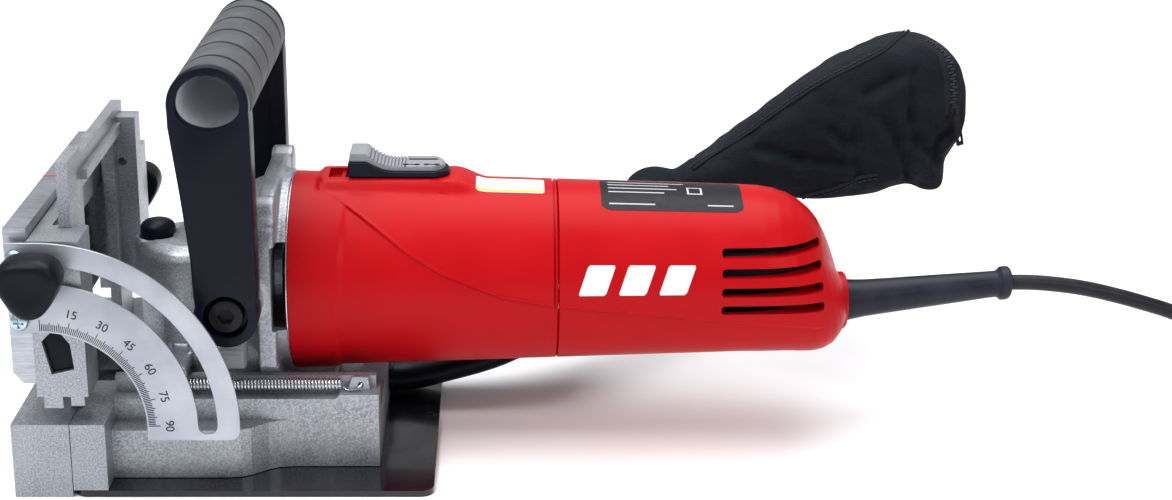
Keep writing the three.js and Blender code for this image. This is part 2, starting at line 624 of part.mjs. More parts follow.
// plug body with two round pins, lying flat beside the coil with its pins to -X
function powerPlug() {
  const grip = new THREE.Shape();
  grip.moveTo(17, 4);
  grip.bezierCurveTo(10, 6, 2, 17, -8, 17.5);
  grip.lineTo(-17, 17.5);
  grip.lineTo(-17, -17.5);
  grip.lineTo(-8, -17.5);
  grip.bezierCurveTo(2, -17, 10, -6, 17, -4);
  const body = slabZ(grip, 0.2, 13.6, 6);
  const pins = [-9.5, 9.5].map((y) => rodX(y, 7, 2.4, -36, -16, 10));
  return join(body, ...pins);
}

function slideSwitch() {
  const side = polygon([[62.5, 108.1], [62.5, 117.8], [69.5, 117.8], [75.5, 114.4], [82, 112.6], [98, 112.4],
    [102, 110.8], [102.6, 108.1]]);
  const neck = box(80, 88, -3.4, 3.4, 99.4, 108.2);
  return join(slabY(side, -9, 9), neck);
}

function buildMotor() {
  add('motorUnit', 'gear_housing', 'castAluminium', gearHousing());
  spindleBearings();
  add('motorUnit', 'bearing_plate', 'castAluminium', bearingPlate());
  add('motorUnit', 'armature_bearing_front', 'steel', ringX(24, 32.5, 5.3, 14.2, MOTOR_Z, 20));
  add('motorUnit', 'motor_housing', 'redPlastic', motorHousing());
  add('motorUnit', 'rear_housing', 'redPlastic', rearHousing());
  add('motorUnit', 'stator', 'copper', stator());
  add('motorUnit', 'bearing_bridge', 'blackPlastic', bearingBridge());
  add('motorUnit', 'armature_bearing_rear', 'steel', ringX(158.3, 165, 4.8, 11.1, MOTOR_Z, 18));
  for (const [name, side] of SIDES) {
    add('motorUnit', `brush_holder_${name}`, 'brass', brushHolder(side));
    add('motorUnit', `brush_${name}`, 'blackPlastic', brush(side));
  }
  add('motorUnit', 'switch_body', 'blackPlastic', box(182, 206, -9, 9, 78, 96.4));
  add('motorUnit', 'switch_slider', 'blackPlastic', slideSwitch());
  add('motorUnit', 'switch_rod', 'steel', box(79, 176, -3.2, 3.2, 96.7, 99.1));
  const dome = turnedZ([[2.3, 0], [2.3, 6.9], [4.2, 5.2], [5.2, 2.4], [5.4, 0]], 0, 0, 24);
  const button = join(rodZ(0, 0, 7, -5, 2.4, 24), dome, rodZ(0, 0, 2.8, -21, -4.9, 12));
  add('motorUnit', 'spindle_lock_button', 'blackPlastic', button, [BUTTON_X, 0, 83.4]);
  const turret = cut(rodX(0, 0, 8, 0, 9, 24), rodX(5.2, 0, 1.6, -1, 3, 8));
  add('motorUnit', 'depth_turret', 'greyPlastic', turret, [15.5, -42, 50]);
  add('motorUnit', 'cable_boot', 'blackRubber', cableBoot());
  add('motorUnit', 'power_plug', 'blackRubber', powerPlug(), [COIL_X, COIL_Y + 67, 0]);
}

// ---- turning parts ----
function armatureCore() {
  return join(
    rodX(0, MOTOR_Z, 5, 20, 134, 16),
    rodX(0, MOTOR_Z, 4.5, 133, 168, 16),
    rodX(0, MOTOR_Z, 4, 7.2, 21, 16),
    rodX(0, MOTOR_Z, 20.8, 73, 121, 30),
    rodX(0, MOTOR_Z, 17, 63, 131, 24),
  );
}

function coolingFan() {
  const blades = 11;
  const disc = ringX(47, 49, 5.3, 33, MOTOR_Z, 22);
  const vanes = Array.from({ length: blades }, (_, i) => {
    const vane = box(48.8, 57, -1, 1, 13, 32);
    return vane.rotate([(360 * i) / blades, 0, 0]).translate([0, 0, MOTOR_Z]);
  });
  const hub = ringX(46, 57, 5.3, 9, MOTOR_Z, 20);
  return join(disc, hub, ...vanes);
}

function sawBlade() {
  const teeth = 6;
  const pitch = 12;
  const disc = polarShape(0, 0, (angle, i) => {
    const step = i % pitch;
    if (step === 1) return BLADE_R - 9;
    if (step === 0 || step === 2) return BLADE_R - 4;
    return step === 3 ? BLADE_R : BLADE_R - 0.8;
  }, teeth * pitch);
  return cut(slabZ(disc, BLADE_Z - 1.6, BLADE_Z + 1.6), rodZ(0, 0, 6, 0, 20, 20));
}

function buildTurning() {
  add('rotor', 'armature_core', 'steel', armatureCore());
  add('rotor', 'commutator', 'copper', ringX(136, 150, 4.8, 12.6, MOTOR_Z, 24));
  add('rotor', 'cooling_fan', 'greyPlastic', coolingFan());
  const pinion = solid(extrude(gearShape(9, 7, 9), 10).rotateY(Math.PI / 2));
  add('rotor', 'drive_pinion', 'steel', cut(pinion, rodX(0, 0, 4.2, -1, 11, 16)), [7.6, 0, MOTOR_Z]);
  add('spindle', 'spindle_shaft', 'steel', join(rodZ(0, 0, 5.8, 3.4, 62, 20), rodZ(0, 0, 4, 61.9, 80, 16)));
  const crown = cut(slabZ(gearShape(33, 15.8, 17.6), 51, 58), rodZ(0, 0, 6.1, 50, 60, 20));
  add('spindle', 'crown_gear', 'steel', crown);
  add('spindle', 'blade_flange', 'steel', ringZ(BLADE_Z + 1.9, 14.9, 6.1, 15, 0, 0, 28));
  add('spindle', 'clamp_nut', 'steel', ringZ(4.6, BLADE_Z - 1.9, 6.1, 14, 0, 0, 28));
  add('spindle', 'saw_blade', 'steel', sawBlade());
}

buildStanding();
buildFence();
buildMotor();
buildHandle();
buildCord();
buildTurning();

export default joiner;
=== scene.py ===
# Biscuit joiner: the visible surfaces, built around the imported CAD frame.
# Shapes are written in millimetres in the row frame and scaled by MM as each mesh is made.
import math

import bmesh
import bpy
from mathutils import Matrix, Vector, noise
from mathutils.bvhtree import BVHTree


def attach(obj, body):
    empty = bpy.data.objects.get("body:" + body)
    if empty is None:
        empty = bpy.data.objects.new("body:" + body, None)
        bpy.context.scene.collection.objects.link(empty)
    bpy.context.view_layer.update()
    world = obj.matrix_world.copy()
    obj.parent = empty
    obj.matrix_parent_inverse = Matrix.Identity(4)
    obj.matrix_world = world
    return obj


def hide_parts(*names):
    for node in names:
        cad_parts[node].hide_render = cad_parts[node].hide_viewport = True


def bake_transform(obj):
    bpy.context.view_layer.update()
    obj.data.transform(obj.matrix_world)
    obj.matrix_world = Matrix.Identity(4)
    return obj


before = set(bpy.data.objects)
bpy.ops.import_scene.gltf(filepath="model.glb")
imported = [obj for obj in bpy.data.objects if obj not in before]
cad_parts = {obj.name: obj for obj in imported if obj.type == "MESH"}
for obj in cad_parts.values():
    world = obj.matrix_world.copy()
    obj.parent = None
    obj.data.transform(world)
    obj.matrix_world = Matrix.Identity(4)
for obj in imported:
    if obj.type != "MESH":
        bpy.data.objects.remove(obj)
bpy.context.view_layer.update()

MM = 0.001
TAU = 2 * math.pi
WELD = 0.004             # points closer than this are joined

# places and sizes that several pieces share, as in the CAD source
SIDES = (("left", -1), ("right", 1))
MOTOR_Z = 67.4
MOTOR_FRONT = 40.6
MOTOR_SEAM = 144.4
MOTOR_R = 39.6
MOTOR_TAPER = 0.0318
REAR_START = 218         # the barrel turns into its rounded rear end
REAR_STOP = 260
WALL = 3
PIVOT = (-46.5, 30.4)    # the fence tilts about it, and the scale is drawn round it
GRIP = (17.0, 150.7)
SLEEVE_R = 14.9
HANDLE_BOLT = (20.3, 70.0)
SPRING_Y = 42.6
BUTTON = (-14.5, 0)
TURRET = (15.5, -42, 50)
LEAD_Z = 61.5            # the lead leaves the boot at this height
BOOT_END = 327
CORD_R = 3.1
DUCT_TIP = Vector((141, 41, 27))
BAG_WAY = Vector((19, 9, 11)).normalized()
COIL_X = 505.0
COIL_Y = 34.0


# ---------------------------------------------------------------- mesh making
def linked(name, data):
    """A new object in the scene."""
    obj = bpy.data.objects.new(name, data)
    bpy.context.scene.collection.objects.link(obj)
    return obj


def turned_out(mesh, merge=0.0):
    """Joins points closer than merge, and turns the faces outwards."""
    bm = bmesh.new()
    bm.from_mesh(mesh)
    if merge:
        bmesh.ops.remove_doubles(bm, verts=bm.verts, dist=merge * MM)
    bmesh.ops.recalc_face_normals(bm, faces=bm.faces)
    bm.to_mesh(mesh)
    bm.free()


def mesh_object(verts, faces):
    mesh = bpy.data.meshes.new("part")
    mesh.from_pydata([tuple(c * MM for c in v) for v in verts], [], faces)
    turned_out(mesh)
    return linked("part", mesh)


def loft(rings, cyclic=False):
    """A closed skin through rings of the same number of points; a cyclic one returns to its first ring."""
    n = len(rings[0])
    verts = [p for ring in rings for p in ring]
    faces = []
    for i in range(len(rings) if cyclic else len(rings) - 1):
        a, b = i * n, ((i + 1) % len(rings)) * n
        for j in range(n):
            k = (j + 1) % n
            faces.append((a + j, a + k, b + k, b + j))
    if not cyclic:
        faces.append(tuple(range(n))[::-1])
        faces.append(tuple(range(len(verts) - n, len(verts))))
    return mesh_object(verts, faces)


def around(axis, origin, along, r, angle):
    """A point at radius r and an angle about an axis through origin, given by its two other coordinates."""
    c, s = r * math.cos(angle), r * math.sin(angle)
    if axis == "X":
        return (along, origin[0] + c, origin[1] + s)
    if axis == "Y":
        return (origin[0] + c, along, origin[1] + s)
    return (origin[0] + c, origin[1] + s, along)


def lathe(profile, axis, origin, steps=96, cyclic=False):
    """Turned body from (along, radius) pairs; a cyclic profile makes a ring."""
    rings = [[around(axis, origin, a, max(r, 0.01), TAU * i / steps) for i in range(steps)]
             for a, r in profile]
    return loft(rings, cyclic=cyclic)


def rod(axis, origin, r, low, high, edge=0.4, steps=64):
    edge = min(edge, r * 0.5, (high - low) * 0.4)
    turn = [(edge * (1 - math.cos(a)), r - edge * (1 - math.sin(a))) for a in (0.0, 0.5, 1.0, math.pi / 2)]
    profile = [(low + a, rr) for a, rr in turn] + [(high - a, rr) for a, rr in reversed(turn)]
    return lathe(profile, axis, origin, steps)


def ring(axis, origin, r_in, r_out, low, high, edge=0.3, steps=96):
    e = edge
    profile = [(low, r_in + e), (low, r_out - e), (low + e, r_out), (high - e, r_out), (high, r_out - e),
               (high, r_in + e), (high - e, r_in), (low + e, r_in)]
    return lathe(profile, axis, origin, steps, cyclic=True)


def block(x0, x1, y0, y1, z0, z1, edge=0.6, segments=2):
    verts = [(x, y, z) for x in (x0, x1) for y in (y0, y1) for z in (z0, z1)]
    faces = [(0, 1, 3, 2), (4, 6, 7, 5), (0, 4, 5, 1), (2, 3, 7, 6), (0, 2, 6, 4), (1, 5, 7, 3)]
    obj = mesh_object(verts, faces)
    return soften(obj, edge, segments) if edge else obj


def span(side, a, b):
    """Low and high Y of what reaches from a to b on one side of the middle."""
    return sorted((side * a, side * b))


def plate(outlines, axis, low, high, edge=0.3):
    """Outlines, the first outer and the rest holes, as a plate square to an axis, with rounded edges."""
    curve = bpy.data.curves.new("outline", "CURVE")
    curve.dimensions = "2D"
    curve.fill_mode = "BOTH"
    curve.extrude = ((high - low) / 2 - edge) * MM
    curve.bevel_depth = edge * MM
    curve.bevel_resolution = 2
    curve.offset = -edge * MM
    for outline in outlines:
        spline = curve.splines.new("POLY")
        spline.points.add(len(outline) - 1)
        for point, (u, v) in zip(spline.points, outline):
            point.co = (u * MM, v * MM, 0, 1)
        spline.use_cyclic_u = True
    middle = (low + high) / 2 * MM
    turn = {"X": ((0, 0, 1, middle), (1, 0, 0, 0), (0, 1, 0, 0)),
            "Y": ((1, 0, 0, 0), (0, 0, -1, middle), (0, 1, 0, 0)),
            "Z": ((1, 0, 0, 0), (0, 1, 0, 0), (0, 0, 1, middle))}[axis]
    obj = baked(linked("outline", curve))
    obj.data.transform(Matrix((*turn, (0, 0, 0, 1))))
    turned_out(obj.data, WELD)
    return obj


def baked(obj):
    """The object as shown, as a plain mesh object; the source is removed."""
    graph = bpy.context.evaluated_depsgraph_get()
    made = linked(obj.name, bpy.data.meshes.new_from_object(obj.evaluated_get(graph)))
    bpy.data.objects.remove(obj)
    return made


def bevel(obj, width, segments, angle):
    """Rounded edges, where two faces meet at more than the angle."""
    step = obj.modifiers.new("edges", "BEVEL")
    step.width = width * MM
    step.segments = segments
    step.limit_method = "ANGLE"
    step.angle_limit = math.radians(angle)
    return step


def soften(obj, width, segments=2, angle=32):
    bevel(obj, width, segments, angle)
    return baked(obj)


def combine(obj, others, operation):
    for other in others:
        step = obj.modifiers.new("boolean", "BOOLEAN")
        step.operation = operation
        step.solver = "MANIFOLD"
        step.object = other
        obj = baked(obj)
        bpy.data.objects.remove(other)
    return obj


def union(obj, *others):
    return combine(obj, others, "UNION")


def minus(obj, *others):
    return combine(obj, others, "DIFFERENCE")


def joined(*parts):
    """Several closed bodies in one mesh, left as they are."""
    bm = bmesh.new()
    for part in parts:
        bm.from_mesh(part.data)
        bpy.data.objects.remove(part)
    mesh = bpy.data.meshes.new("joined")
    bm.to_mesh(mesh)
    bm.free()
    return linked("joined", mesh)


def cast(obj, voxel, passes):
    """One skin over overlapping bodies, with the soft inner and outer corners of a casting."""
    remesh = obj.modifiers.new("skin", "REMESH")
    remesh.mode = "VOXEL"
    remesh.voxel_size = voxel * MM
    smooth = obj.modifiers.new("soft", "SMOOTH")
    smooth.factor = 0.5
    smooth.iterations = passes
    return baked(obj)


def smooth_line(points, per_span=8):
    """Points along a Catmull-Rom curve through the given points."""
    p = [Vector(q) for q in points]
    p = [2 * p[0] - p[1]] + p + [2 * p[-1] - p[-2]]
    line = []
    for i in range(1, len(p) - 2):
        for k in range(per_span):
            t = k / per_span
            a, b, c, d = p[i - 1:i + 3]
            line.append(0.5 * ((2 * b) + (c - a) * t + (2 * a - 5 * b + 4 * c - d) * t * t
                               + (3 * b - a - 3 * c + d) * t ** 3))
    return line + [p[-2]]


def sweep(line, section):
    """Sweeps (u, v) points along a line, or a function that gives them at a share of the way along it."""
    rings = []
    side = Vector((0, 1, 0))
    for i, point in enumerate(line):
        ahead = (line[min(i + 1, len(line) - 1)] - line[max(i - 1, 0)]).normalized()
        side = (side - side.dot(ahead) * ahead).normalized()
        up = ahead.cross(side)
        shape = section(i / (len(line) - 1)) if callable(section) else section
        rings.append([tuple(point + side * u + up * v) for u, v in shape])
    return loft(rings)


def from_start(start, way, distances):
    return [start + way * s for s in distances]


def circle(r, steps=16):
    return [(r * math.cos(TAU * i / steps), r * math.sin(TAU * i / steps)) for i in range(steps)]


def oval(wide, high):
    return [(wide * c, high * s) for c, s in circle(1, 56)]


def arc(cx, cy, r, start, end, steps=12):
    """Points of an arc, angles in degrees."""
    angles = [math.radians(start + (end - start) * i / steps) for i in range(steps + 1)]
    return [(cx + r * math.cos(a), cy + r * math.sin(a)) for a in angles]


def rectangle(x0, x1, y0, y1):
    return [(x0, y0), (x1, y0), (x1, y1), (x0, y1)]


def rounded(outline, r, steps=5):
    """An outline with its corners rounded."""
    result = []
    n = len(outline)
    for i in range(n):
        p, a, b = (Vector(outline[k % n]) for k in (i, i - 1, i + 1))
        to_a, to_b = (a - p), (b - p)
        reach = min(r, to_a.length * 0.45, to_b.length * 0.45)
        start, end = p + to_a.normalized() * reach, p + to_b.normalized() * reach
        for k in range(steps + 1):
            t = k / steps
            result.append(tuple((1 - t) ** 2 * start + 2 * t * (1 - t) * p + t * t * end))
    return result


def ease(t):
    t = min(max(t, 0.0), 1.0)
    return t * t * (3 - 2 * t)


def along_table(table, x):
    """Value at x between the rows of an (x, value) table."""
    if x <= table[0][0]:
        return table[0][1]
    for (x0, v0), (x1, v1) in zip(table, table[1:]):
        if x <= x1:
            return v0 + (v1 - v0) * (x - x0) / (x1 - x0)
    return table[-1][1]


# ---------------------------------------------------------------- materials
class Paint:
    """A material's node tree, with the noise, ramps and bump that the finishes share."""

    def __init__(self, name, color, roughness, metallic=0.0, **values):
        self.material = bpy.data.materials.new(name)
        self.material.use_nodes = True
        self.tree = self.material.node_tree
        self.shader = self.tree.nodes["Principled BSDF"]
        values.update(Base_Color=(*color, 1), Roughness=roughness, Metallic=metallic)
        for key, value in values.items():
            self.shader.inputs[key.replace("_", " ")].default_value = value
        self.place = self.node("TexCoord").outputs["Object"]

    def node(self, kind, sockets=(), **values):
        """A node whose inputs are set to numbers or linked to other nodes."""
        made = self.tree.nodes.new("ShaderNode" + kind)
        for key, value in values.items():
            setattr(made, key, value)
        for key, value in dict(sockets).items():
            if hasattr(value, "links"):
                self.tree.links.new(value, made.inputs[key])
            else:
                made.inputs[key].default_value = value
        return made

    def stretched(self, scale):
        return self.node("Mapping", {"Vector": self.place, "Scale": scale}).outputs["Vector"]

    def noise(self, scale, detail=3.0, rough=0.55, stretch=None, distortion=0.0):
        vector = self.stretched(stretch) if stretch else self.place
        return self.node("TexNoise", {"Vector": vector, "Scale": scale, "Detail": detail, "Roughness": rough,
                                      "Distortion": distortion}).outputs["Fac"]

    def ramp(self, fac, low, high):
        made = self.node("ValToRGB", {"Fac": fac})
        made.color_ramp.elements[0].position = low
        made.color_ramp.elements[1].position = high
        return made.outputs["Color"]

    def range(self, fac, low, high, start=0.3, end=0.7):
        return self.node("MapRange", {"Value": fac, "From Min": start, "From Max": end, "To Min": low,
                                      "To Max": high}).outputs["Result"]

    def blend(self, fac, a, b, kind="MIX"):
        a, b = (c if hasattr(c, "links") else (*c, 1) for c in (a, b))
        made = self.node("Mix", {"Factor": fac, "A": a, "B": b}, data_type="RGBA", blend_type=kind)
        return made.outputs["Result"]

    def worn_edges(self):
        """Bright where the surface turns outwards, such as a rubbed edge."""
        return self.ramp(self.node("NewGeometry").outputs["Pointiness"], 0.52, 0.66)

    def finish(self, color, roughness, *bumps):
        """Links the colour, the roughness and any bumps of (height, strength, distance)."""
        found = {"Base Color": color, "Roughness": roughness}
        for height, strength, distance in bumps:
            below = {"Normal": found["Normal"]} if "Normal" in found else {}
            found["Normal"] = self.node("Bump", {"Height": height, "Strength": strength, "Distance": distance,
                                                 **below}).outputs["Normal"]
        for key, socket in found.items():
            if socket is not None:
                self.tree.links.new(socket, self.shader.inputs[key])
        return self.material


def cast_aluminium():
    p = Paint("cast_aluminium", (0.32, 0.335, 0.38), 0.42, 0.75)
    grain, patches = p.noise(1500, 2.0, 0.7), p.noise(60, 3.0)
    base = p.blend(p.ramp(grain, 0.38, 0.66), (0.17, 0.18, 0.205), (0.40, 0.415, 0.45))
    color = p.blend(p.range(patches, 0.0, 0.35), base, (0.47, 0.49, 0.53))
    return p.finish(color, p.range(patches, 0.36, 0.5), (grain, 0.32, 0.00018),
                    (p.noise(420, 2.0), 0.14, 0.0003))


def plate_aluminium():
    p = Paint("plate_aluminium", (0.56, 0.58, 0.64), 0.36, 0.92)
    grain = p.noise(900, 3.0, 0.6, stretch=(0.12, 1.0, 1.0))
    return p.finish(p.blend(p.ramp(grain, 0.35, 0.7), (0.31, 0.325, 0.37), (0.46, 0.475, 0.52)),
                    p.range(p.noise(45, 2.0), 0.30, 0.42), (grain, 0.12, 0.0001))


def quadrant_aluminium():
    p = Paint("quadrant_aluminium", (0.56, 0.58, 0.64), 0.4, 0.8)
    grain = p.noise(700, 3.0, 0.6, stretch=(0.25, 1.0, 1.6))
    return p.finish(p.blend(p.ramp(p.noise(38, 3.0), 0.35, 0.7), (0.33, 0.35, 0.40), (0.45, 0.465, 0.51)),
                    p.range(grain, 0.34, 0.46), (grain, 0.1, 0.00008))


def bright_steel(name, color, low=0.18, high=0.34):
    p = Paint(name, color, 0.25, 1.0)
    darker = tuple(c * 0.72 for c in color)
    return p.finish(p.blend(p.ramp(p.noise(320, 3.0), 0.35, 0.7), darker, color),
                    p.range(p.noise(180, 4.0), low, high), (p.noise(1400, 2.0), 0.08, 0.00005))


def gloss_black():
    color = (0.004, 0.0045, 0.007)
    p = Paint("gloss_black", color, 0.16, Coat_Weight=0.3, Coat_Roughness=0.06, Specular_IOR_Level=0.35)
    dust = p.noise(90, 5.0, 0.65)
    return p.finish(p.blend(p.ramp(dust, 0.62, 0.8), color, (0.022, 0.024, 0.028)), p.range(dust, 0.12, 0.3),
                    (p.noise(260, 2.0), 0.05, 0.0002))


def black_plastic(name="black_plastic", color=(0.002, 0.003, 0.0085), rough=0.38):
    p = Paint(name, color, rough, Specular_IOR_Level=0.13)
    scuff = p.ramp(p.noise(240, 5.0, 0.7, distortion=1.5), 0.68, 0.78)
    lighter = tuple(c * 2.4 + 0.003 for c in color)
    return p.finish(p.blend(p.blend(0.35, scuff, p.worn_edges()), color, lighter),
                    p.range(p.noise(55, 4.0), rough - 0.07, rough + 0.09),
                    (p.noise(2600, 2.0, 0.6), 0.16, 0.00012))


def red_plastic():
    p = Paint("red_plastic", (0.44, 0.004, 0.009), 0.3, Coat_Weight=0.0, Specular_IOR_Level=0.1)
    patches = p.noise(40, 3.0)
    return p.finish(p.blend(p.ramp(patches, 0.0, 1.0), (0.35, 0.001, 0.003), (0.43, 0.002, 0.006)),
                    p.range(patches, 0.28, 0.46, 0.0, 1.0), (p.noise(2200, 2.0, 0.6), 0.10, 0.0001))


def rubber(name, color, rough, sheen):
    p = Paint(name, color, rough, Sheen_Weight=sheen, Sheen_Roughness=0.5, Specular_IOR_Level=0.2)
    patches = p.noise(70, 4.0)
    dusty = tuple(min(1.0, c * 1.55 + 0.01) for c in color)
    return p.finish(p.blend(p.ramp(patches, 0.45, 0.8), color, dusty),
                    p.range(patches, rough - 0.08, rough + 0.08), (p.noise(1700, 3.0, 0.65), 0.22, 0.00015))


def bag_cloth():
    p = Paint("bag_cloth", (0.005, 0.006, 0.010), 0.9, Sheen_Weight=0.03, Sheen_Roughness=0.4,
              Specular_IOR_Level=0.12)
    threads = [p.node("TexWave",
                      {"Vector": p.stretched(stretch), "Scale": 520, "Distortion": 0.6, "Detail": 1.0},
                      wave_type="BANDS", bands_direction="DIAGONAL").outputs["Fac"]
               for stretch in ((1, 0, 0), (0, 0.6, 0.8))]
    fuzz = p.noise(900, 3.0, 0.7)
    shade = p.blend(p.ramp(p.noise(28, 3.0), 0.3, 0.75), (0.002, 0.003, 0.006), (0.007, 0.008, 0.014))
    return p.finish(p.blend(p.range(fuzz, 0.0, 0.5), shade, (0.013, 0.015, 0.022)), p.range(fuzz, 0.8, 0.98),
                    (p.blend(1.0, *threads, "MULTIPLY"), 0.3, 0.0003), (fuzz, 0.2, 0.0002),
                    (p.noise(110, 4.0, 0.6, distortion=0.9), 0.6, 0.0022))


def printed(name, color, rough=0.5):
    p = Paint(name, color, rough, Specular_IOR_Level=0.15)
    worn = tuple(c * 0.88 for c in color)
    return p.finish(p.blend(p.ramp(p.noise(500, 4.0), 0.5, 0.8), color, worn),
                    p.range(p.noise(300, 3.0), rough - 0.06, rough + 0.08),
                    (p.noise(1800, 2.0), 0.05, 0.00005))


def copper_windings():
    p = Paint("copper_windings", (0.46, 0.17, 0.07), 0.35, 0.85)
    strands = p.noise(700, 2.0, 0.5, stretch=(0.1, 1, 1))
    return p.finish(p.blend(p.ramp(strands, 0.35, 0.65), (0.22, 0.07, 0.03), (0.56, 0.23, 0.10)),
                    p.range(strands, 0.28, 0.5), (strands, 0.5, 0.0004))


# each look: its material, and the slot of the pieces that wear it
LOOKS = {
    "cast": (cast_aluminium(), "cast_aluminium"),
    "plate": (plate_aluminium(), "machined_aluminium"),
    "quadrant": (quadrant_aluminium(), "machined_aluminium"),
    # the grip tube's lining, light grey to stand in for the light seen inside the tube: painted light
    "bore": (printed("bore_painted_light", (0.72, 0.73, 0.77), 0.4), "black_plastic"),
    "steel": (bright_steel("steel", (0.62, 0.63, 0.66)), "steel"),
    "spring": (bright_steel("spring_steel", (0.56, 0.57, 0.60), 0.16, 0.28), "steel"),
    "zinc": (bright_steel("zinc", (0.46, 0.60, 0.68), 0.2, 0.36), "zinc"),
    "gloss": (gloss_black(), None),
    "black_steel": (black_plastic("black_oxide", (0.008, 0.008, 0.010), 0.3), "black_steel"),
    "black": (black_plastic(), "black_plastic"),
    "knob": (black_plastic("knob_plastic", (0.003, 0.0035, 0.007), 0.4), "black_plastic"),
    "red": (red_plastic(), "red_plastic"),
    "grip": (rubber("grip_rubber", (0.052, 0.053, 0.060), 0.66, 0.05), "grey_rubber"),
    "rubber": (rubber("boot_rubber", (0.005, 0.006, 0.015), 0.42, 0.02), "black_rubber"),
    "cord": (rubber("cord_rubber", (0.007, 0.007, 0.010), 0.4, 0.02), "black_rubber"),
    "cloth": (bag_cloth(), "bag_cloth"),
    "piping": (printed("bag_piping", (0.010, 0.011, 0.017), 0.8), "bag_cloth"),
    "thread": (printed("bag_thread", (0.030, 0.032, 0.042), 0.7), "bag_cloth"),
    "copper": (copper_windings(), None),
    "brass": (bright_steel("brass", (0.60, 0.42, 0.16)), None),
    "grey": (printed("switch_grey", (0.22, 0.23, 0.25), 0.5), "grey_plastic"),
    "ink": (printed("ink", (0.012, 0.012, 0.016), 0.55), "black_plastic"),
    "white": (printed("white_print", (0.70, 0.70, 0.72), 0.45), "grey_plastic"),
    "label": (printed("label_black", (0.008, 0.008, 0.011), 0.4), "black_plastic"),
    "label_line": (printed("label_line", (0.42, 0.42, 0.44), 0.5), "grey_plastic"),
    "yellow": (printed("yellow_print", (0.80, 0.74, 0.05), 0.45), "brass"),
    "red_line": (printed("red_line", (0.50, 0.03, 0.04), 0.5), "red_plastic"),
}


# ---------------------------------------------------------------- pieces
def finished(obj, look, angle):
    obj.data.materials.clear()
    obj.data.materials.append(LOOKS[look][0])
    obj.data.shade_smooth()
    obj.data.set_sharp_from_angle(angle=math.radians(angle))


def place(obj, name, look, stands_for=None, angle=35, body="motor_unit"):
    """Names and shades a finished piece, with its material, and makes it ride on its body."""
    obj.name = name
    obj.data.name = name
    finished(obj, look, angle)
    if body:
        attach(obj, body)
    if stands_for:
        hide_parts(stands_for)
    return obj


def dress(node, look, edge, segments=2):
    """A CAD node that keeps its own shape: material, rounded edges and smooth shading."""
    finished(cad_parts[node], look, 32)
    bevel(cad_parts[node], edge, segments, 32).harden_normals = True


# ---------------------------------------------------------------- camera and cord
def make_camera():
    data = bpy.data.cameras.new("camera")
    data.sensor_fit = "HORIZONTAL"
    data.sensor_width = 36
    data.lens = 58.36
    data.shift_x = 0.0734
    data.shift_y = -0.0597
    data.clip_start = 0.02
    camera = linked("camera", data)
    camera.location = (0.122, -0.7198, 0.3246)
    camera.rotation_euler = (math.radians(73), 0, 0)
    bpy.context.scene.camera = camera


CORD_ROUTE = [
    (327.3, 0, LEAD_Z), (336, 0, 61.4), (346, 0, 60.6), (358, 0, 58.8), (370, 0, 56), (382, 0, 52.6),
    (394, 0, 48.7), (405, 0, 44), (416, -0.1, 38), (426, -0.5, 31.4), (436, -1.2, 24.4), (446, -2.3, 17.4),
    (456, -3.8, 11.2), (466, -5.6, 6.6), (474, -7.1, 4.5), (482, -8.6, 3.5), (490, -9.9, CORD_R),
    (498, -10.9, CORD_R), (505, -11.3, CORD_R)]
CORD_TAIL = [(550.3, 46, 8.2), (550.3, 57, 6.3), (550.3, 66, 4.8), (550.3, 75, 4.2), (548.3, 85, 4.2),
             (542.7, 93.4, 4.8), (534.3, 99, 5.9), (522.2, 101.0, 6.9)]


def coil_line():
    """Turns of the coil: a spiral in on the bench, a step up, and a spiral out to the +X side."""
    turns_each, climb, per_turn = 3.0, 0.25, 20
    inner, pitch = 26.7, 2 * CORD_R
    total = 2 * turns_each + climb
    points = []
    for i in range(1, round(total * per_turn) + 1):
        t = i / per_turn
        if t <= turns_each:
            r, z = inner + pitch * (turns_each - t), CORD_R
        elif t < turns_each + climb:
            r, z = inner, CORD_R + pitch * ease((t - turns_each) / climb)
        else:
            r, z = inner + pitch * (t - turns_each - climb), CORD_R + pitch
        a = TAU * t - math.pi / 2
        points.append((COIL_X + r * math.cos(a), COIL_Y + r * math.sin(a), z))
    return points


def make_cord():
    route = CORD_ROUTE + coil_line() + CORD_TAIL
    curve = bpy.data.curves.new("power_lead", "CURVE")
    curve.dimensions = "3D"
    curve.bevel_depth = CORD_R * MM
    curve.bevel_resolution = 5
    curve.resolution_u = 6
    curve.use_fill_caps = True
    spline = curve.splines.new("BEZIER")
    spline.bezier_points.add(len(route) - 1)
    for point, at in zip(spline.bezier_points, route):
        point.co = [c * MM for c in at]
        point.handle_left_type = point.handle_right_type = "AUTO"
    lead = linked("power_lead", curve)
    curve.materials.append(LOOKS["cord"][0])
    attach(lead, "motor_unit")
    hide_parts("power_cord", "cord_coil")
    return lead


def make_plug():
    """Flat two-pin plug with a ribbed neck, beside the coil: its body, then the pins and their sleeves."""
    x, y = COIL_X, COIL_Y + 67
    half = [(17, 4.2), (9, 5.6), (4, 9), (-1, 14.4), (-6, 17), (-17, 17.5)]
    outline = [(x + u, y + v) for u, v in half] + [(x + u, y - v) for u, v in reversed(half)]
    body = plate([rounded(outline, 3)], "Z", 0.3, 13.5, 1.8)
    neck = rod("X", (y, 6.9), 5.2, x + 10, x + 17, 1.2)
    grooves = [ring("X", (y, 6.9), 4.3, 7, x + 11.3 + 2 * i, x + 12.1 + 2 * i, 0.1) for i in range(3)]
    body = place(union(body, minus(neck, *grooves)), "plug_body", "cord", "power_plug")
    for i, side in enumerate((-9.5, 9.5)):
        sleeve = rod("X", (y + side, 7), 2.1, x - 27, x - 16, 0.3, 32)
        place(sleeve, f"plug_pin_sleeve_{i}", "cord")
        pin = rod("X", (y + side, 7), 2.3, x - 35.8, x - 26.6, 1.6, 32)
        place(pin, f"plug_pin_{i}", "steel")
    return body


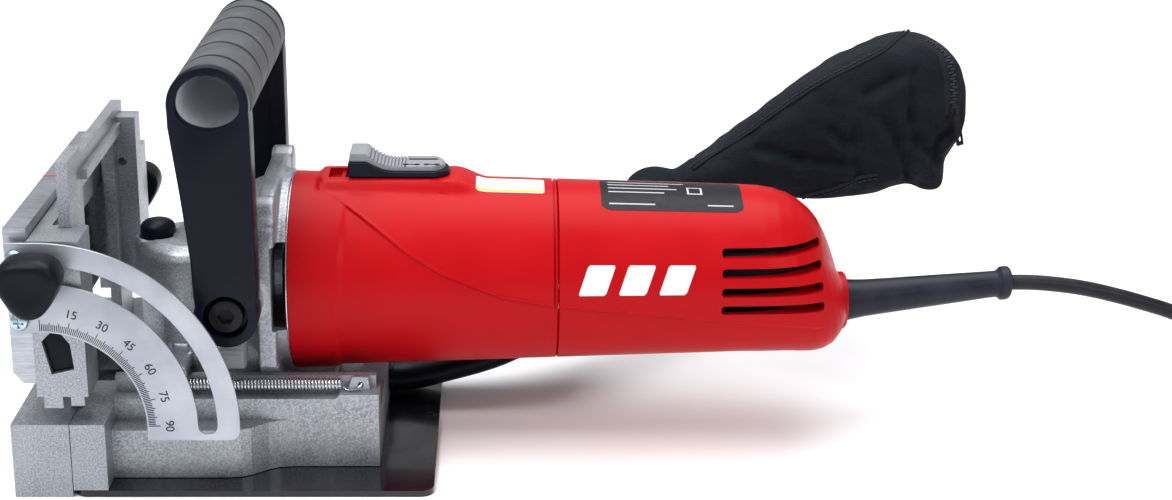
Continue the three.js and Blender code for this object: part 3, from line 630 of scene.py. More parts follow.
def make_tie():
    """A flat strap round the bundle on its near side."""
    angle = math.radians(-60)
    radial = Vector((math.cos(angle), math.sin(angle), 0))
    across = Vector((-math.sin(angle), math.cos(angle), 0))
    centre = Vector((COIL_X + 36 * math.cos(angle), COIL_Y + 36 * math.sin(angle), 6.2))
    outline = rounded(rectangle(-12.7, 12.7, -6.1, 6.5), 3)
    rings = [[tuple(centre + radial * u * (1 + grow / 13) + Vector((0, 0, v * (1 + grow / 14)))
                    + across * half)
              for u, v in outline]
             for half, grow in ((-2.0, 0.0), (-2.0, 0.7), (2.0, 0.7), (2.0, 0.0))]
    return place(loft(rings, cyclic=True), "cord_tie", "rubber")


bpy.context.scene.view_settings.view_transform = "Standard"
make_camera()
lead = make_cord()
plug = make_plug()
tie = make_tie()


# ---------------------------------------------------------------- base
def make_base():
    dress("base_plate", "gloss", 0.5)
    dress("front_plate", "cast", 0.9, 3)
    dress("base_housing", "cast", 0.8, 3)
    dress("guide_plate", "cast", 0.6)
    for side, _ in SIDES:
        dress(f"grip_pad_{side}", "rubber", 0.3)


def make_spring(name, side):
    """Close-wound extension spring with a hook at each end, from the gear case to the base's tab."""
    y, z, wire, mean = side * SPRING_Y, 35.3, 0.42, 2.05
    start, end = -2.6, 60.6
    turns = (end - start) / 1.3
    steps = 14
    line = [Vector((start - 2.4, y, z + 0.2)), Vector((start - 1.6, y, z))]
    for i in range(int(turns * steps) + 1):
        a = TAU * i / steps
        line.append(Vector((start + (end - start) * i / (turns * steps), y + mean * math.cos(a),
                            z + mean * math.sin(a))))
    tail = [(61.6, y + side * 0.4, z - 1.2), (63.2, y + side * 0.9, z - 1.9), (66.2, y + side * 1.4, z - 1.5),
            (68.4, y + side * 1.2, z - 0.2), (68.9, y, z + 0.6), (68.2, y - side * 1.2, z + 0.2)]
    line += smooth_line([tuple(line[-1])] + tail, 5)[1:]
    spring = place(sweep(line, circle(wire, 6)), name, "spring", name, 60, body=None)
    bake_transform(spring)


def make_dust_port():
    route = smooth_line([(75.8, 30, 9.8), (84, 30, 10.1), (97, 31, 12.9), (120, 34.5, 18.6),
                         tuple(DUCT_TIP)], 10)
    outer = sweep(route, oval(12, 6.6))
    lip = sweep(route[:3], oval(13.2, 7.6))
    end = sweep(from_start(DUCT_TIP, BAG_WAY, (-3.2, -2.7, 2.8)),
                lambda t: circle(12.4 - 0.5 * (t < 0.1), 56))
    long = [Vector((70, 30, 9.8))] + route[2:-2] + [Vector((150, 44.6, 31.5))]
    port = minus(union(outer, lip, end), sweep(long, oval(9.5, 4.3)))
    place(port, "dust_duct", "black", "dust_port", body="base")


# ---------------------------------------------------------------- fence
def make_fence():
    dress("height_carriage", "cast", 0.7, 3)
    dress("angle_fence", "plate", 0.5, 3)
    # a black plate at the bottom of the cheek's pocket, so that the pocket reads dark: painted shade
    recess = rounded([(-46.8, 62.9), (-41.5, 68.2), (-36.7, 61.9), (-35.8, 52.2), (-43.9, 50.2)], 0.6, 3)
    place(plate([recess], "Y", -66.2, -60.05, 0.3), "cheek_recess_shade", "black", body="carriage")
    place(block(-58.9, -50.2, -0.45, 0.45, 106.25, 106.42, 0), "fence_centre_line", "red_line", body="fence")
    make_quadrant()
    make_screws()
    make_knob("angle_knob", (PIVOT[0], PIVOT[1] + SLOT_R), -73, -1, "angle_lock", 2.5, 15)
    make_knob("height_lock_knob", (-39, 78), 72, 1, "height_knob", 3, 17)


# the quadrant's radii about the pivot, and its front and back faces
RIM_R, SLOT_R, INNER_R = 71.8, 59.8, 37.2
SHEET = (-70.6, -69.4)


def quadrant_outline():
    x, z = PIVOT
    slot_half, corner = 3.6, 4
    outer = [(-57.5, 66.9), (-57.5, z + RIM_R)]
    outer += arc(x, z, RIM_R, 90, 2, 44)
    outer += arc(x + RIM_R - corner, 28.5, corner, 0, -90, 6)
    outer += [(x + INNER_R, 24.5)]
    outer += arc(x, z, INNER_R, 0, 90, 44)
    slot = arc(x, z, SLOT_R + slot_half, 0, 90, 44) + arc(x, z + SLOT_R, slot_half, 90, 270, 10)[1:-1]
    slot += arc(x, z, SLOT_R - slot_half, 90, 0, 44) + arc(x + SLOT_R, z, slot_half, 180, 360, 10)[1:-1]
    return [outer, slot]


def digits(text, size):
    font = bpy.data.curves.new("digits", "FONT")
    font.body = text
    font.size = size * MM
    font.align_x = "CENTER"
    font.align_y = "CENTER"
    font.extrude = 0.05 * MM
    return baked(linked("digits", font))


def on_scale(obj, angle, r):
    """Moves what is drawn at the origin to the scale, at an angle from the top clockwise and a radius."""
    a = math.radians(angle)
    x, z = PIVOT[0] + r * math.sin(a), PIVOT[1] + r * math.cos(a)
    obj.data.transform(Matrix(((math.cos(a), math.sin(a), 0, x * MM), (0, 0, -1, (SHEET[0] - 0.06) * MM),
                               (-math.sin(a), math.cos(a), 0, z * MM), (0, 0, 0, 1))))
    return obj


def make_quadrant():
    sheet = plate(quadrant_outline(), "Y", *SHEET, 0.25)
    place(sheet, "quadrant_plate", "quadrant", "angle_quadrant", body="fence")
    ticks = []
    for degree in range(91):
        long = 4.4 if degree % 15 == 0 else 3.4 if degree % 5 == 0 else 2.6
        ticks.append(on_scale(block(-0.14, 0.14, 0, long, -0.05, 0.05, 0), degree, 37.9))
    place(joined(*ticks), "quadrant_ticks", "ink", body="fence")
    numbers = [on_scale(digits(str(degree), 4.6), degree, 45.6) for degree in range(0, 91, 15)]
    place(joined(*numbers), "quadrant_numbers", "ink", body="fence")


def make_screws():
    """Cross-recessed pan head screws that hold the quadrant."""
    head_profile = [(-70.9, 0), (-70.9, 3.35), (-71.6, 3.4), (-72.5, 2.8), (-73.0, 1.6), (-73.1, 0)]
    for name, x, z in (("lower", -53.6, 72), ("upper", -53.9, 96.4)):
        cross = [block(x - u, x + u, -74, -71.9, z - v, z + v, 0) for u, v in ((1.9, 0.42), (0.42, 1.9))]
        screw = soften(minus(lathe(head_profile, "Y", (x, z), 48), union(*cross)), 0.08, 1)
        place(screw, f"quadrant_screw_head_{name}", "zinc", f"quadrant_screw_{name}", 40, "fence")


def make_knob(name, centre, root, side, body, stud_r, reach):
    """Three-lobed knob with a dished crown, its stud running back along Y from root."""
    steps = 96
    levels = [(0.9, 8.6), (1.0, 10.2), (1.7, 11.0), (3.5, 11.35), (8.0, 11.5), (11.5, 11.3), (13.3, 10.7),
              (14.4, 9.7), (14.9, 8.5), (15.0, 7.0), (14.7, 5.0), (14.3, 2.4), (14.2, 0.05)]
    rings = []
    for out, r in levels:
        lobe = 1.05 * min(1.0, r / 10)
        rings.append([around("Y", centre, root + side * out, r + lobe * math.sin(3 * a), a)
                      for a in (TAU * i / steps for i in range(steps))])
    hub = rod("Y", centre, 5.2, *sorted((root + side * 1.4, root - side * 2)))
    place(union(loft(rings), hub), f"{name}_head", "knob", name, body=body)
    stem = sorted((root - side * 1.6, root - side * reach))
    place(rod("Y", centre, stud_r - 0.1, *stem), f"{name}_stud", "steel", body=body)


# ---------------------------------------------------------------- gear case
def gear_case_bodies():
    z = MOTOR_Z
    barrel = lathe([(-8, 0), (-8, 15.2), (-6, 17.4), (0, 21.4), (6, 25.2), (14, 30.6), (22, 35.2), (27, 37.4),
                    (30, 38), (30, 0)], "X", (0, z), 128)
    nose = lathe([(18.6, 0), (18.6, 22), (77, 22), (80.5, 20.2), (82.5, 16.5), (82.5, 0)], "Z", (0, 0), 128)
    square = rounded(rectangle(-41, 41, z - 41, z + 41), 22, 8)
    parts = [barrel, nose, plate([square], "X", 29, 36.2, 0.6),
             rod("X", (0, z), 40.5, 35.6, MOTOR_FRONT - 0.3, 0.4, 128),
             block(0, 36, -35.5, 35.5, 18.6, 33, 1), block(30, 56, -35.5, 35.5, 18.6, 23.2, 1),
             block(-22, 1, -24.6, 24.6, 18.6, 31, 1), block(0, 36, -30, 30, 30, 50, 1),
             lathe([(58, 0), (58, 9.6), (80.8, 9.6), (82, 8.6), (82, 0)], "Z", BUTTON, 8)]
    for _, side in SIDES:
        parts += [rod("Y", HANDLE_BOLT, 11.2, *span(side, 18, 49.7), 0.6, 96),
                  block(0.2, 56, *span(side, 30, 38.2), 24, 28, 0.4),
                  block(-8, 2, *span(side, 20, 45.2), 38.4, 43, 0.8),
                  rod("X", (side * 35, z + 35), 6.5, 28, 37, 0.8),
                  block(18, 30, *span(side, 14, 17.5), 86, 100, 0.6)]
    return parts


def make_gear_case():
    casting = cast(joined(*gear_case_bodies()), 0.8, 5)
    cuts = [lathe([(6.8, 0), (6.8, 19), (22, 31), (29, 34), (29, 37), (42, 37), (42, 0)],
                  "X", (0, MOTOR_Z), 96)]
    for r, low, high in ((13.4, 21.9, 34.1), (16.6, 12, 22), (18.6, 34, 73), (6.9, 72, 81)):
        cuts.append(rod("Z", (0, 0), r, low, high, 0.2))
    cuts.append(lathe([(74, 0), (74, 7.4), (81.2, 7.4), (82.8, 8.6), (82.8, 0)], "Z", BUTTON, 64))
    cuts.append(rod("Z", BUTTON, 3.2, 60, 78, 0.1))
    for _, side in SIDES:
        cuts += [block(34.6, 42, *span(side, 30, 50), 56, 90, 0.8),
                 block(28, 42, *span(side, 35.5, 60), 12, 41.5, 0),
                 rod("Y", HANDLE_BOLT, 4.2, *span(side, 24, 52), 0.1)]
    case = minus(casting, *cuts)
    pins = [rod("Z", (-5, side * SPRING_Y), 1.4, 33.2, 39.6, 0.3) for _, side in SIDES]
    place(joined(case, *pins), "gear_case", "cast", "gear_housing", 42)
    gasket = ring("X", (0, MOTOR_Z), 36.9, 39.3, MOTOR_FRONT - 0.55, MOTOR_FRONT - 0.05, 0.1)
    place(gasket, "case_joint_ring", "steel")


def make_button():
    dome = lathe([(78.4, 0), (78.4, 6.8), (84.6, 6.95), (85.8, 6.85), (86.8, 6.3), (87.7, 5.2), (88.3, 3.6),
                  (88.6, 1.8), (88.7, 0)], "Z", BUTTON, 72)
    stem = rod("Z", BUTTON, 2.8, 62.4, 78.6)
    place(joined(dome, stem), "lock_button_cap", "black", "spindle_lock_button", body="lock_button")


def knurled(axis, centre, profile, steps, depth):
    """Turned body whose rings flagged in the profile of (along, radius, flag) carry fine grooves."""
    return loft([[around(axis, centre, along, r - (depth if cut and (i // 2) % 2 else 0), TAU * i / steps)
                  for i in range(steps)] for along, r, cut in profile])


def make_turret():
    """Depth stop: a knurled drum with stop screws of different lengths."""
    x, y, z = TURRET
    profile = [(x, 7.2, 0), (x + 0.5, 7.8, 1), (x + 8.5, 7.8, 1), (x + 9, 7.2, 0)]
    drum = knurled("X", (y, z), profile, 96, 0.28)
    place(drum, "depth_turret_drum", "grey", "depth_turret", body="turret")
    for i in range(3):
        a = TAU * i / 3 + 0.4
        centre = (y + 4.6 * math.cos(a), z + 4.6 * math.sin(a))
        stop = rod("X", centre, 1.2, x - 1.2 - 0.9 * i, x + 1, 0.2, 24)
        place(stop, f"depth_stop_{i}", "steel", body="turret")


# ---------------------------------------------------------------- handle
def arm_outline():
    hx, hz = HANDLE_BOLT
    left = [(hx - 11.6, hz + 8), (8.2, 92), (5.4, 118), (2.3, 143)]
    right = [(31.9, 143), (32, 92), (32.1, hz + 8)]
    return left + arc(*GRIP, SLEEVE_R, 188, -8, 40) + right + arc(hx, hz, 12, 20, -200, 40)


def make_handle():
    waist = rounded([(14.5, 84), (14.2, 96), (11.6, 122), (10.4, 132), (25.5, 132), (26, 96), (25.6, 84)], 4)
    hole = [(GRIP[0] + 11.7 * c, GRIP[1] + (11.7 if s > 0 else 8.6) * s) for c, s in circle(1, 96)]
    for name, side in SIDES:
        low, high = span(side, 49.9, 62)
        arm = minus(plate([arm_outline()], "Y", low, high, 0.9),
                    plate([hole], "Y", low - 1, high + 1, 0.05),
                    rod("Y", GRIP, 15.1, *span(side, 49, 58), 0.1, 96),
                    rod("Y", HANDLE_BOLT, 4.3, low - 1, high + 1, 0.1),
                    rod("Y", HANDLE_BOLT, 8.4, *span(side, 55, 64), 0.1, 96),
                    plate([waist], "Y", *span(side, 48, 51.4), 0.2))
        place(soften(arm, 0.35, 2, 40), f"handle_arm_{name}_moulding", "black", f"handle_arm_{name}")
        make_bolt(name, side)
    steps = (-58, -57, -31, -30.4, -12, -11.4, 8, 8.6, 27, 27.6, 58)
    bore = [(y, 12.3 - (0.14 if i % 2 else 0)) for i, y in enumerate(steps)]
    lining = lathe(bore + [(58, 13.2), (-58, 13.2)], "Y", GRIP, 96, cyclic=True)
    # the lining's light grey is painted light inside the tube
    place(lining, "grip_core", "bore", "grip_tube", 25)
    make_sleeve()


def make_sleeve():
    """Soft sleeve with shallow turned grooves, each with a black ring in it that is painted shade in the
    groove.
    """
    r = SLEEVE_R
    floor = r - 1.2
    profile = [(-57.9, r - 0.8), (-57.3, r - 0.1)]
    for i in range(5):
        y = -43.8 + 21.85 * i
        profile += [(y - 1.5, r), (y - 1.3, r - 0.25), (y - 1.25, floor), (y + 1.25, floor),
                    (y + 1.3, r - 0.25), (y + 1.5, r)]
        # a black ring just under the surface of each groove: painted shade
        line = lathe([(y - 1.24, r - 1.3), (y - 1.24, r - 0.12), (y + 1.24, r - 0.12), (y + 1.24, r - 1.3)],
                     "Y", GRIP, 96, cyclic=True)
        place(line, f"sleeve_groove_shade_{i}", "knob")
    profile += [(57.3, r - 0.1), (57.9, r - 0.8), (57.9, 13.25), (-57.9, 13.25)]
    place(lathe(profile, "Y", GRIP, 128, cyclic=True), "soft_sleeve", "grip", "grip_sleeve", 50)


def make_bolt(name, side):
    """Socket head cap screw with a knurled head, and its washer."""
    inner, outer = side * 55.3, side * 61
    shares = ((0, 6.3, 0), (0.1, 6.5, 1), (0.85, 6.5, 1), (0.97, 6.2, 0), (1.0, 5.8, 0))
    profile = [(inner + (outer - inner) * share, r, cut) for share, r, cut in shares]
    head = knurled("Y", HANDLE_BOLT, profile, 144, 0.14)
    bolt = union(head, rod("Y", HANDLE_BOLT, 3.9, *span(side, 27, 55.4)))
    x, z = HANDLE_BOLT
    hexagon = [(x + u, z + v) for u, v in circle(3.4, 6)]
    bolt = minus(bolt, plate([hexagon], "Y", *span(side, 57.5, 62), 0.05))
    place(bolt, f"handle_bolt_{name}_screw", "black_steel", f"handle_bolt_{name}", 40)
    washer = ring("Y", HANDLE_BOLT, 4.4, 8.1, *span(side, 55.02, 55.6), 0.15)
    place(washer, f"handle_washer_{name}", "black_steel")


# ---------------------------------------------------------------- motor housings
# X and the height, in degrees, of the crease between the upper and the lower half of the motor's side
CREASE = [(50, 82), (54, 70), (74, 44), (86, 29), (98, 17.6), (112, 8.7), (123, 2.2), (141, -3), (160, -6.9),
          (207, -16), (235, -24), (REAR_STOP, -30)]
# rear end at each station: X and radius along its top, X and radius along its fuller underside
REAR_END = [(REAR_START, 218, 33.96, 218, 33.96), (224, 225, 33.6, 226, 33.95), (230, 231, 32.6, 234, 33.8),
            (236, 236.5, 30.8, 241, 33.6), (241, 241, 28.3, 246.5, 33.1), (245, 245.2, 24.8, 251, 31.9),
            (248, 248.2, 21.2, 254.4, 29.9), (251, 250.4, 17.4, 257, 26.8), (254, 252.2, 13.6, 259, 22.2),
            (256, 253.6, 10, 260, 16.8), (258, 255.2, 5.5, 259.4, 9), (REAR_STOP, 257, 0.01, 257, 0.01)]


def barrel_radius(x):
    return MOTOR_R - (min(x, REAR_START) - MOTOR_FRONT) * MOTOR_TAPER


def rear_form(station, side_angle):
    """X and radius of the rear end at a station, between its upper and its lower profile."""
    top_x, top_r, low_x, low_r = (along_table([(row[0], row[k]) for row in REAR_END], station)
                                  for k in (1, 2, 3, 4))
    low = ease((35 - side_angle) / 80)
    return top_x + (low_x - top_x) * low, top_r + (low_r - top_r) * low


def pad_height(x, y):
    """How strongly the raised pad under the switch shows, from 0 to 1."""
    ends = ease((x - 49.5) / 3) * (1 - ease((x - 104) / 14))
    return ends * (1 - ease((abs(y) - 8.2) / 5.5))


def skin(x, angle, offset=0.0):
    """Point on the red housing, with its pad and crease: angle in degrees from the left side (-Y) upwards."""
    a = math.radians(angle)
    side_angle = angle if angle <= 90 else 180 - angle
    r = barrel_radius(x)
    station = x
    if station > REAR_START:
        x, r = rear_form(station, side_angle)
    crease = along_table(CREASE, station)
    below = ease((crease - side_angle) / 2.2)
    behind_ring = ease((x - 58.5 - 0.03 * (side_angle + 20)) / 2.2)
    r -= 0.9 * below * behind_ring * (1 - ease((x - 236) / 16))
    ridge = ease(1 - abs(crease - side_angle) / 2.4) * (1 - ease((x - 200) / 30)) * ease((x - 52) / 8)
    r += 0.22 * ridge
    flat = (107.7 - MOTOR_Z) / max(math.sin(a), 0.5)
    share = pad_height(x, r * math.cos(a)) if math.sin(a) > 0.5 else 0.0
    r += max(flat - r, 0) * share
    r += offset
    return (x, -r * math.cos(a), MOTOR_Z + r * math.sin(a))


def rows(x):
    """Angles round the housing at X, closest together along the crease on each side."""
    crease = along_table(CREASE, x)
    marks = [(-90, 0), (crease - 3.2, 34), (crease - 1.2, 8), (crease + 1.2, 10), (crease + 3.2, 8), (90, 34)]
    left = []
    for (a, _), (b, count) in zip(marks, marks[1:]):
        left += [a + (b - a) * i / count for i in range(count)]
    return left + [180 - a for a in [90] + left[:0:-1]]


def skin_ring(x, offset=0.0):
    return [skin(x, a, offset) for a in rows(x)]


def plain_ring(x, r, along=None):
    return [around("X", (0, MOTOR_Z), x, r, math.pi - math.radians(a)) for a in rows(along or x)]


def stations(start, end, step, edge):
    count = round((end - start) / step)
    inner = [start + edge + (end - start - 2 * edge) * i / count for i in range(count + 1)]
    return [start] + inner + [end]


def make_motor_housing():
    xs = stations(MOTOR_FRONT, MOTOR_SEAM, 0.9, 0.35)
    rings = [skin_ring(x, -0.4 if x in (xs[0], xs[-1]) else 0.0) for x in xs]
    rings += [plain_ring(x, barrel_radius(x) - WALL) for x in reversed(xs)]
    pocket = block(54.6, 64, -6.4, 6.4, 104.6, 112, 0.5)
    link_slot = block(70, 98, -4, 4, 90, 112, 0.3)
    seam = ring("X", (0, MOTOR_Z), 35.4, 60, MOTOR_SEAM - 1.7, MOTOR_SEAM - 0.9, 0.1)
    body = minus(loft(rings, cyclic=True), pocket, link_slot, seam)
    place(body, "front_shell", "red", "motor_housing", 28)
    place(block(59.4, 61.0, -6.5, 6.5, 104.5, 106.6, 0.2), "switch_pocket_rib", "red")


def vent_cutters():
    cutters = []
    for _, side in SIDES:
        for row in range(4):
            z, half = 62.1 + 7.3 * row, 1.85
            start, end = 207.4, 247.9 - 0.3 * row
            outline = rounded(rectangle(start, end, z - half, z + half), 1.8, 6)
            cutters.append(plate([outline], "Y", *span(side, 10, 60), 0.05))
    return cutters


def make_rear_housing():
    start = MOTOR_SEAM + 0.3
    xs = stations(start, 240, 1.2, 0.35)[:-1] + [240 + 0.8 * i for i in range(25)] + [REAR_STOP]
    rings = [skin_ring(x, -0.4 if x == start else 0.0) for x in xs]
    inner = [(250.5, 0.01), (250.5, 9), (242, 21.5), (230.5, 28), (216, 31)]
    inner += [(x, barrel_radius(x) - WALL) for x in (200, 186, 172, 158, start)]
    rings += [plain_ring(x, r, REAR_STOP if x > 240 else x) for x, r in inner]
    body = loft(rings, cyclic=True)
    turned_out(body.data, WELD)
    exit_hole = rod("X", (0, 53.8), 9.3, 240, 270, 0.1)
    collar = ring("X", (0, 53.9), 9.4, 11.6, 250, 261.0, 0.8)
    body = minus(union(body, collar), exit_hole, *vent_cutters())
    place(body, "rear_shell", "red", "rear_housing", 28)


def make_air_guide():
    """Thin black funnel inside the slots, shaped as an air guide for the fan, and black so that the vents
    read dark inside: painted shade.
    """
    outer = [(206.2, 27.5), (226, 26.6), (236, 23.2), (243.5, 18.7)]
    guide = lathe(outer + [(x, r - 1) for x, r in reversed(outer)], "X", (0, MOTOR_Z), 72, cyclic=True)
    place(guide, "vent_shade_funnel", "black")


def patch(name, look, x0, x1, a0, a1, offset, corner=0.0, slant=0.0):
    """A thin print or label that follows the housing, between two X and two angles, with rounded corners."""
    lines, columns = 14, 30
    rings = []
    height = math.radians(a1 - a0) * barrel_radius((x0 + x1) / 2)
    for j in range(lines + 1):
        v = j / lines
        near = min(v, 1 - v) * height
        inset = corner - math.sqrt(corner ** 2 - (corner - near) ** 2) if near < corner else 0.0
        xs = [x0 + inset + (x1 - x0 - 2 * inset) * i / columns + slant * (v - 0.5)
              for i in range(columns + 1)]
        angle = a0 + (a1 - a0) * v
        rings.append([skin(x, angle, offset) for x in xs] + [skin(x, angle, -0.15) for x in reversed(xs)])
    place(loft(rings), name, look, angle=50)


def print_line(name, start, end, angle):
    patch(name, "label_line", start, end, angle - 0.6, angle + 0.6, 0.2)


def make_labels():
    patch("rating_label", "label", 161.5, 217, 59, 100, 0.14, 3)
    for i, (angle, long) in enumerate(((92, 30), (87, 24), (82, 27), (77, 22), (64.5, 18))):
        print_line(f"label_line_{i}", 164.5, 164.5 + long, angle)
    patch("label_square_outer", "label_line", 195.5, 201.5, 76, 85.5, 0.2)
    patch("label_square_inner", "label", 196.3, 200.7, 77.3, 84.2, 0.26)
    print_line("label_line_8", 203, 213, 64.5)
    patch("notice_label", "white", 112.6, 139.4, 73, 93, 0.14, 0.8)
    patch("notice_label_band", "yellow", 113.0, 139.0, 73.6, 75.8, 0.2)
    for i in range(3):
        x = 154 + 15.5 * i
        patch(f"side_mark_{i}", "white", x, x + 10.5, 2.5, 21.5, 0.1, 0.6, 4.0)


# ---------------------------------------------------------------- switch and boot
def cut_to_plan(obj, front, half, centre, r):
    """Keeps what lies inside a plan with a round rear end."""
    plan = [(61, -half), (front, -half)] + arc(centre, 0, r, -88, 88, 20) + [(front, half), (61, half)]
    return combine(obj, [plate([plan], "Z", 100, 125, 0.05)], "INTERSECT")


def make_switch():
    side = [(62.5, 108.1), (62.5, 114.2), (69.6, 114.2), (73.2, 112.4), (76.6, 110.9), (80.5, 110.4),
            (98.6, 110.4), (101.6, 109.8), (102.6, 108.1)]
    body = cut_to_plan(plate([rounded(side, 0.8, 3)], "Y", -9, 9, 0.7), 93, 9.6, 93.2, 9.4)
    neck = block(80, 88, -3.4, 3.4, 96.6, 108.4, 0.2)
    rod_link = block(79, 176, -3.2, 3.2, 96.7, 99.1, 0.3)
    place(union(soften(body, 0.3, 2), neck), "switch_base", "black", "switch_slider", body="switch")
    place(rod_link, "switch_link", "steel", "switch_rod", body="switch")
    top = [(63.0, 114.1), (63.2, 117.7), (69.4, 117.7)]
    curve = [(70.4, 117.2), (72.4, 115.6), (74.8, 114.1), (77.4, 113.1), (80.4, 112.6), (84.0, 112.5),
             (97.6, 112.5), (99.8, 112.0), (101.2, 110.9)]
    under = [(99.2, 110.3), (80.5, 110.3), (76.6, 110.8), (73.2, 112.3), (69.6, 114.1)]
    cap = cut_to_plan(plate([rounded(top + curve + under, 0.6, 3)], "Y", -7.6, 7.6, 0.5), 93, 8.2, 92.4, 8.1)
    grooves = []
    for i in range(11):
        x = 71.4 + 1.35 * i
        z = along_table(curve, x)
        slope = math.atan2(along_table(curve, x + 0.5) - z, 0.5)
        groove = block(-0.28, 0.28, -8.5, 8.5, -0.75, 2.5, 0)
        groove.data.transform(Matrix.Translation((x * MM, 0, z * MM)) @ Matrix.Rotation(-slope, 4, "Y"))
        grooves.append(groove)
    place(soften(minus(cap, *grooves), 0.12, 1, 45), "switch_thumb_cap", "grey", body="switch")
    y, low, high = -5.2, 112.4, 112.62
    marks = []
    for x, half in ((87.2, 2.3), (95.2, 2.1)):
        marks.append(block(x - half, x + half, y - 0.4, y + 0.4, low, high, 0))
        marks += [rod("Z", (x + s * half, y), 1.05, low, high, 0.02, 20) for s in (-1, 1)]
    marks.append(block(86, 97.5, 1.4, 3.0, low, high, 0))
    place(joined(*marks), "switch_marks", "ink", body="switch")


def make_boot():
    """Smooth tapered strain relief with a collar at its end; it rises from the housing to the lead."""
    profile = [(254, 0), (254, 8.2), (262, 8.3), (265, 7.9), (269, 7.5), (276, 7.15), (292, 6.5), (308, 5.85),
               (318, 5.4), (321.6, 5.35), (322.6, 6.0), (323.2, 6.7), (324.6, 6.85), (326.2, 6.6),
               (BOOT_END, 5.8), (BOOT_END, 0)]
    boot = lathe(profile, "X", (0, LEAD_Z), 72)
    rise = 0.115
    for vertex in boot.data.vertices:
        vertex.co.z -= rise * (BOOT_END * MM - vertex.co.x)
    place(boot, "cable_boot_tapered", "rubber", "cable_boot", 30)


# ---------------------------------------------------------------- dust bag
BAG_OUTLINE = [(206, 76), (233, 98), (267, 126), (285, 136), (303, 142.5), (316, 140), (327, 133), (332, 116),
               (332.5, 98), (324, 86), (326, 70.5), (318, 66), (305, 70.5), (293.6, 65.5), (263.5, 62.5),
               (232, 66.5), (207, 71)]
BAG_Y = 108
EYE = Vector((122, -720, 325))      # the camera's place, to draw on the bag what the photograph shows
DRAWN_Y = 95                        # the seams and folds are given as (x, z) in this plane
SEAM = [(300.9, 143.6), (295.2, 138.6), (290.3, 134.2), (277.1, 127.0), (263.0, 119.4), (246.1, 107.5),
        (229.4, 94.7), (215.9, 86.0), (208.4, 80.3)]
LOW_SEAM = [(258.0, 68.2), (271.5, 71.5), (282.4, 76.5), (291.2, 78.3)]
ZIP = [(309.5, 138.6), (315.0, 135.2), (319.0, 130.6), (321.4, 123.8), (322.4, 115.8), (322.7, 106.0)]
FOLDS = [
    [(304.5, 124.4), (304.0, 104.7), (307.4, 92.7), (313.5, 88.1), (320.9, 78.8)],
    [(293.5, 102.4), (299.4, 92.7), (303.9, 78.8), (307.8, 72.7)],
    [(269.2, 98.7), (275.8, 92.7), (276.9, 89.5)],
    [(284.8, 115.3), (300.1, 124.4)],
    [(315.1, 84.8), (318.1, 94.1), (324.3, 99.7)],
    [(280.0, 97.8), (282.4, 78.8)],
    [(238.0, 89.5), (256.1, 84.8), (278.6, 82.5)]]


def bag_form():
    """Sack and neck as one rough closed form, before it is blown out and gathered."""
    outline = [(268 + (x - 268) * 0.97, 102 + (z - 102) * 0.95) for x, z in BAG_OUTLINE]
    sack = plate([rounded(outline, 6, 4)], "Y", BAG_Y - 19, BAG_Y + 19, 8)
    neck_line = smooth_line([(156.6, 48.3, 36), (160.5, 50.8, 38.2), (167, 58, 44), (175, 69, 53),
                             (183, 79, 66), (191, 88, 73.5), (200, 95, 72.5), (214, 104, 75)], 6)

    def neck(t):
        return circle(11.9 + 2.2 * (1 - ease(t / 0.12)) - 4.2 * ease((t - 0.66) / 0.18)
                      + 3 * ease((t - 0.85) / 0.15), 32)

    return joined(sack, sweep(neck_line, neck))


def make_bag():
    form = cast(bag_form(), 4.0, 2)
    blow(form)
    sub = form.modifiers.new("fine", "SUBSURF")
    sub.levels = sub.render_levels = 1
    bag = baked(form)
    for v in bag.data.vertices:
        v.co += crease_move(v.co)
    place(bag, "dust_bag_cloth", "cloth", "dust_bag", 180, "base")
    sew(bag)


def blow(form):
    """Cloth under light pressure, so that the sack swells between its seams, by 7 mm at most."""
    rest = [v.co.copy() for v in form.data.vertices]
    group = form.vertex_groups.new(name="pin")
    group.add([i for i, p in enumerate(rest) if p.x < 0.172], 1.0, "REPLACE")
    cloth = form.modifiers.new("cloth", "CLOTH")
    settings = cloth.settings
    settings.use_pressure = True
    settings.uniform_pressure_force = 4
    settings.effector_weights.gravity = 0
    settings.vertex_group_mass = "pin"
    settings.tension_stiffness = 12
    settings.bending_stiffness = 0.3
    for number in range(1, 21):
        bpy.context.scene.frame_set(number)
    graph = bpy.context.evaluated_depsgraph_get()
    moved = [v.co.copy() for v in form.evaluated_get(graph).data.vertices]
    form.modifiers.remove(cloth)
    form.vertex_groups.clear()
    bpy.context.scene.frame_set(1)
    for v, a, b in zip(form.data.vertices, rest, moved):
        step = b - a
        v.co = a + step * min(1.0, 7 * MM / max(step.length, 1e-9))


def fold_height(x, z):
    """Depth of the drawn folds at a point of the bag's side view: a valley with a soft ridge beside it."""
    height = 0.0
    for line in FOLDS:
        for (x0, z0), (x1, z1) in zip(line, line[1:]):
            across = Vector((x1 - x0, z1 - z0))
            length = across.length
            along = across / length
            offset = Vector((x - x0, z - z0))
            s, d = offset.dot(along), offset.x * along.y - offset.y * along.x
            reach = ease(1 - max(-s, s - length, 0) / 5)
            height += reach * (1.7 * math.exp(-((d - 4.2) / 3.0) ** 2) - 2.9 * math.exp(-(d / 2.4) ** 2))
    return min(max(height, -4.2), 3.0)


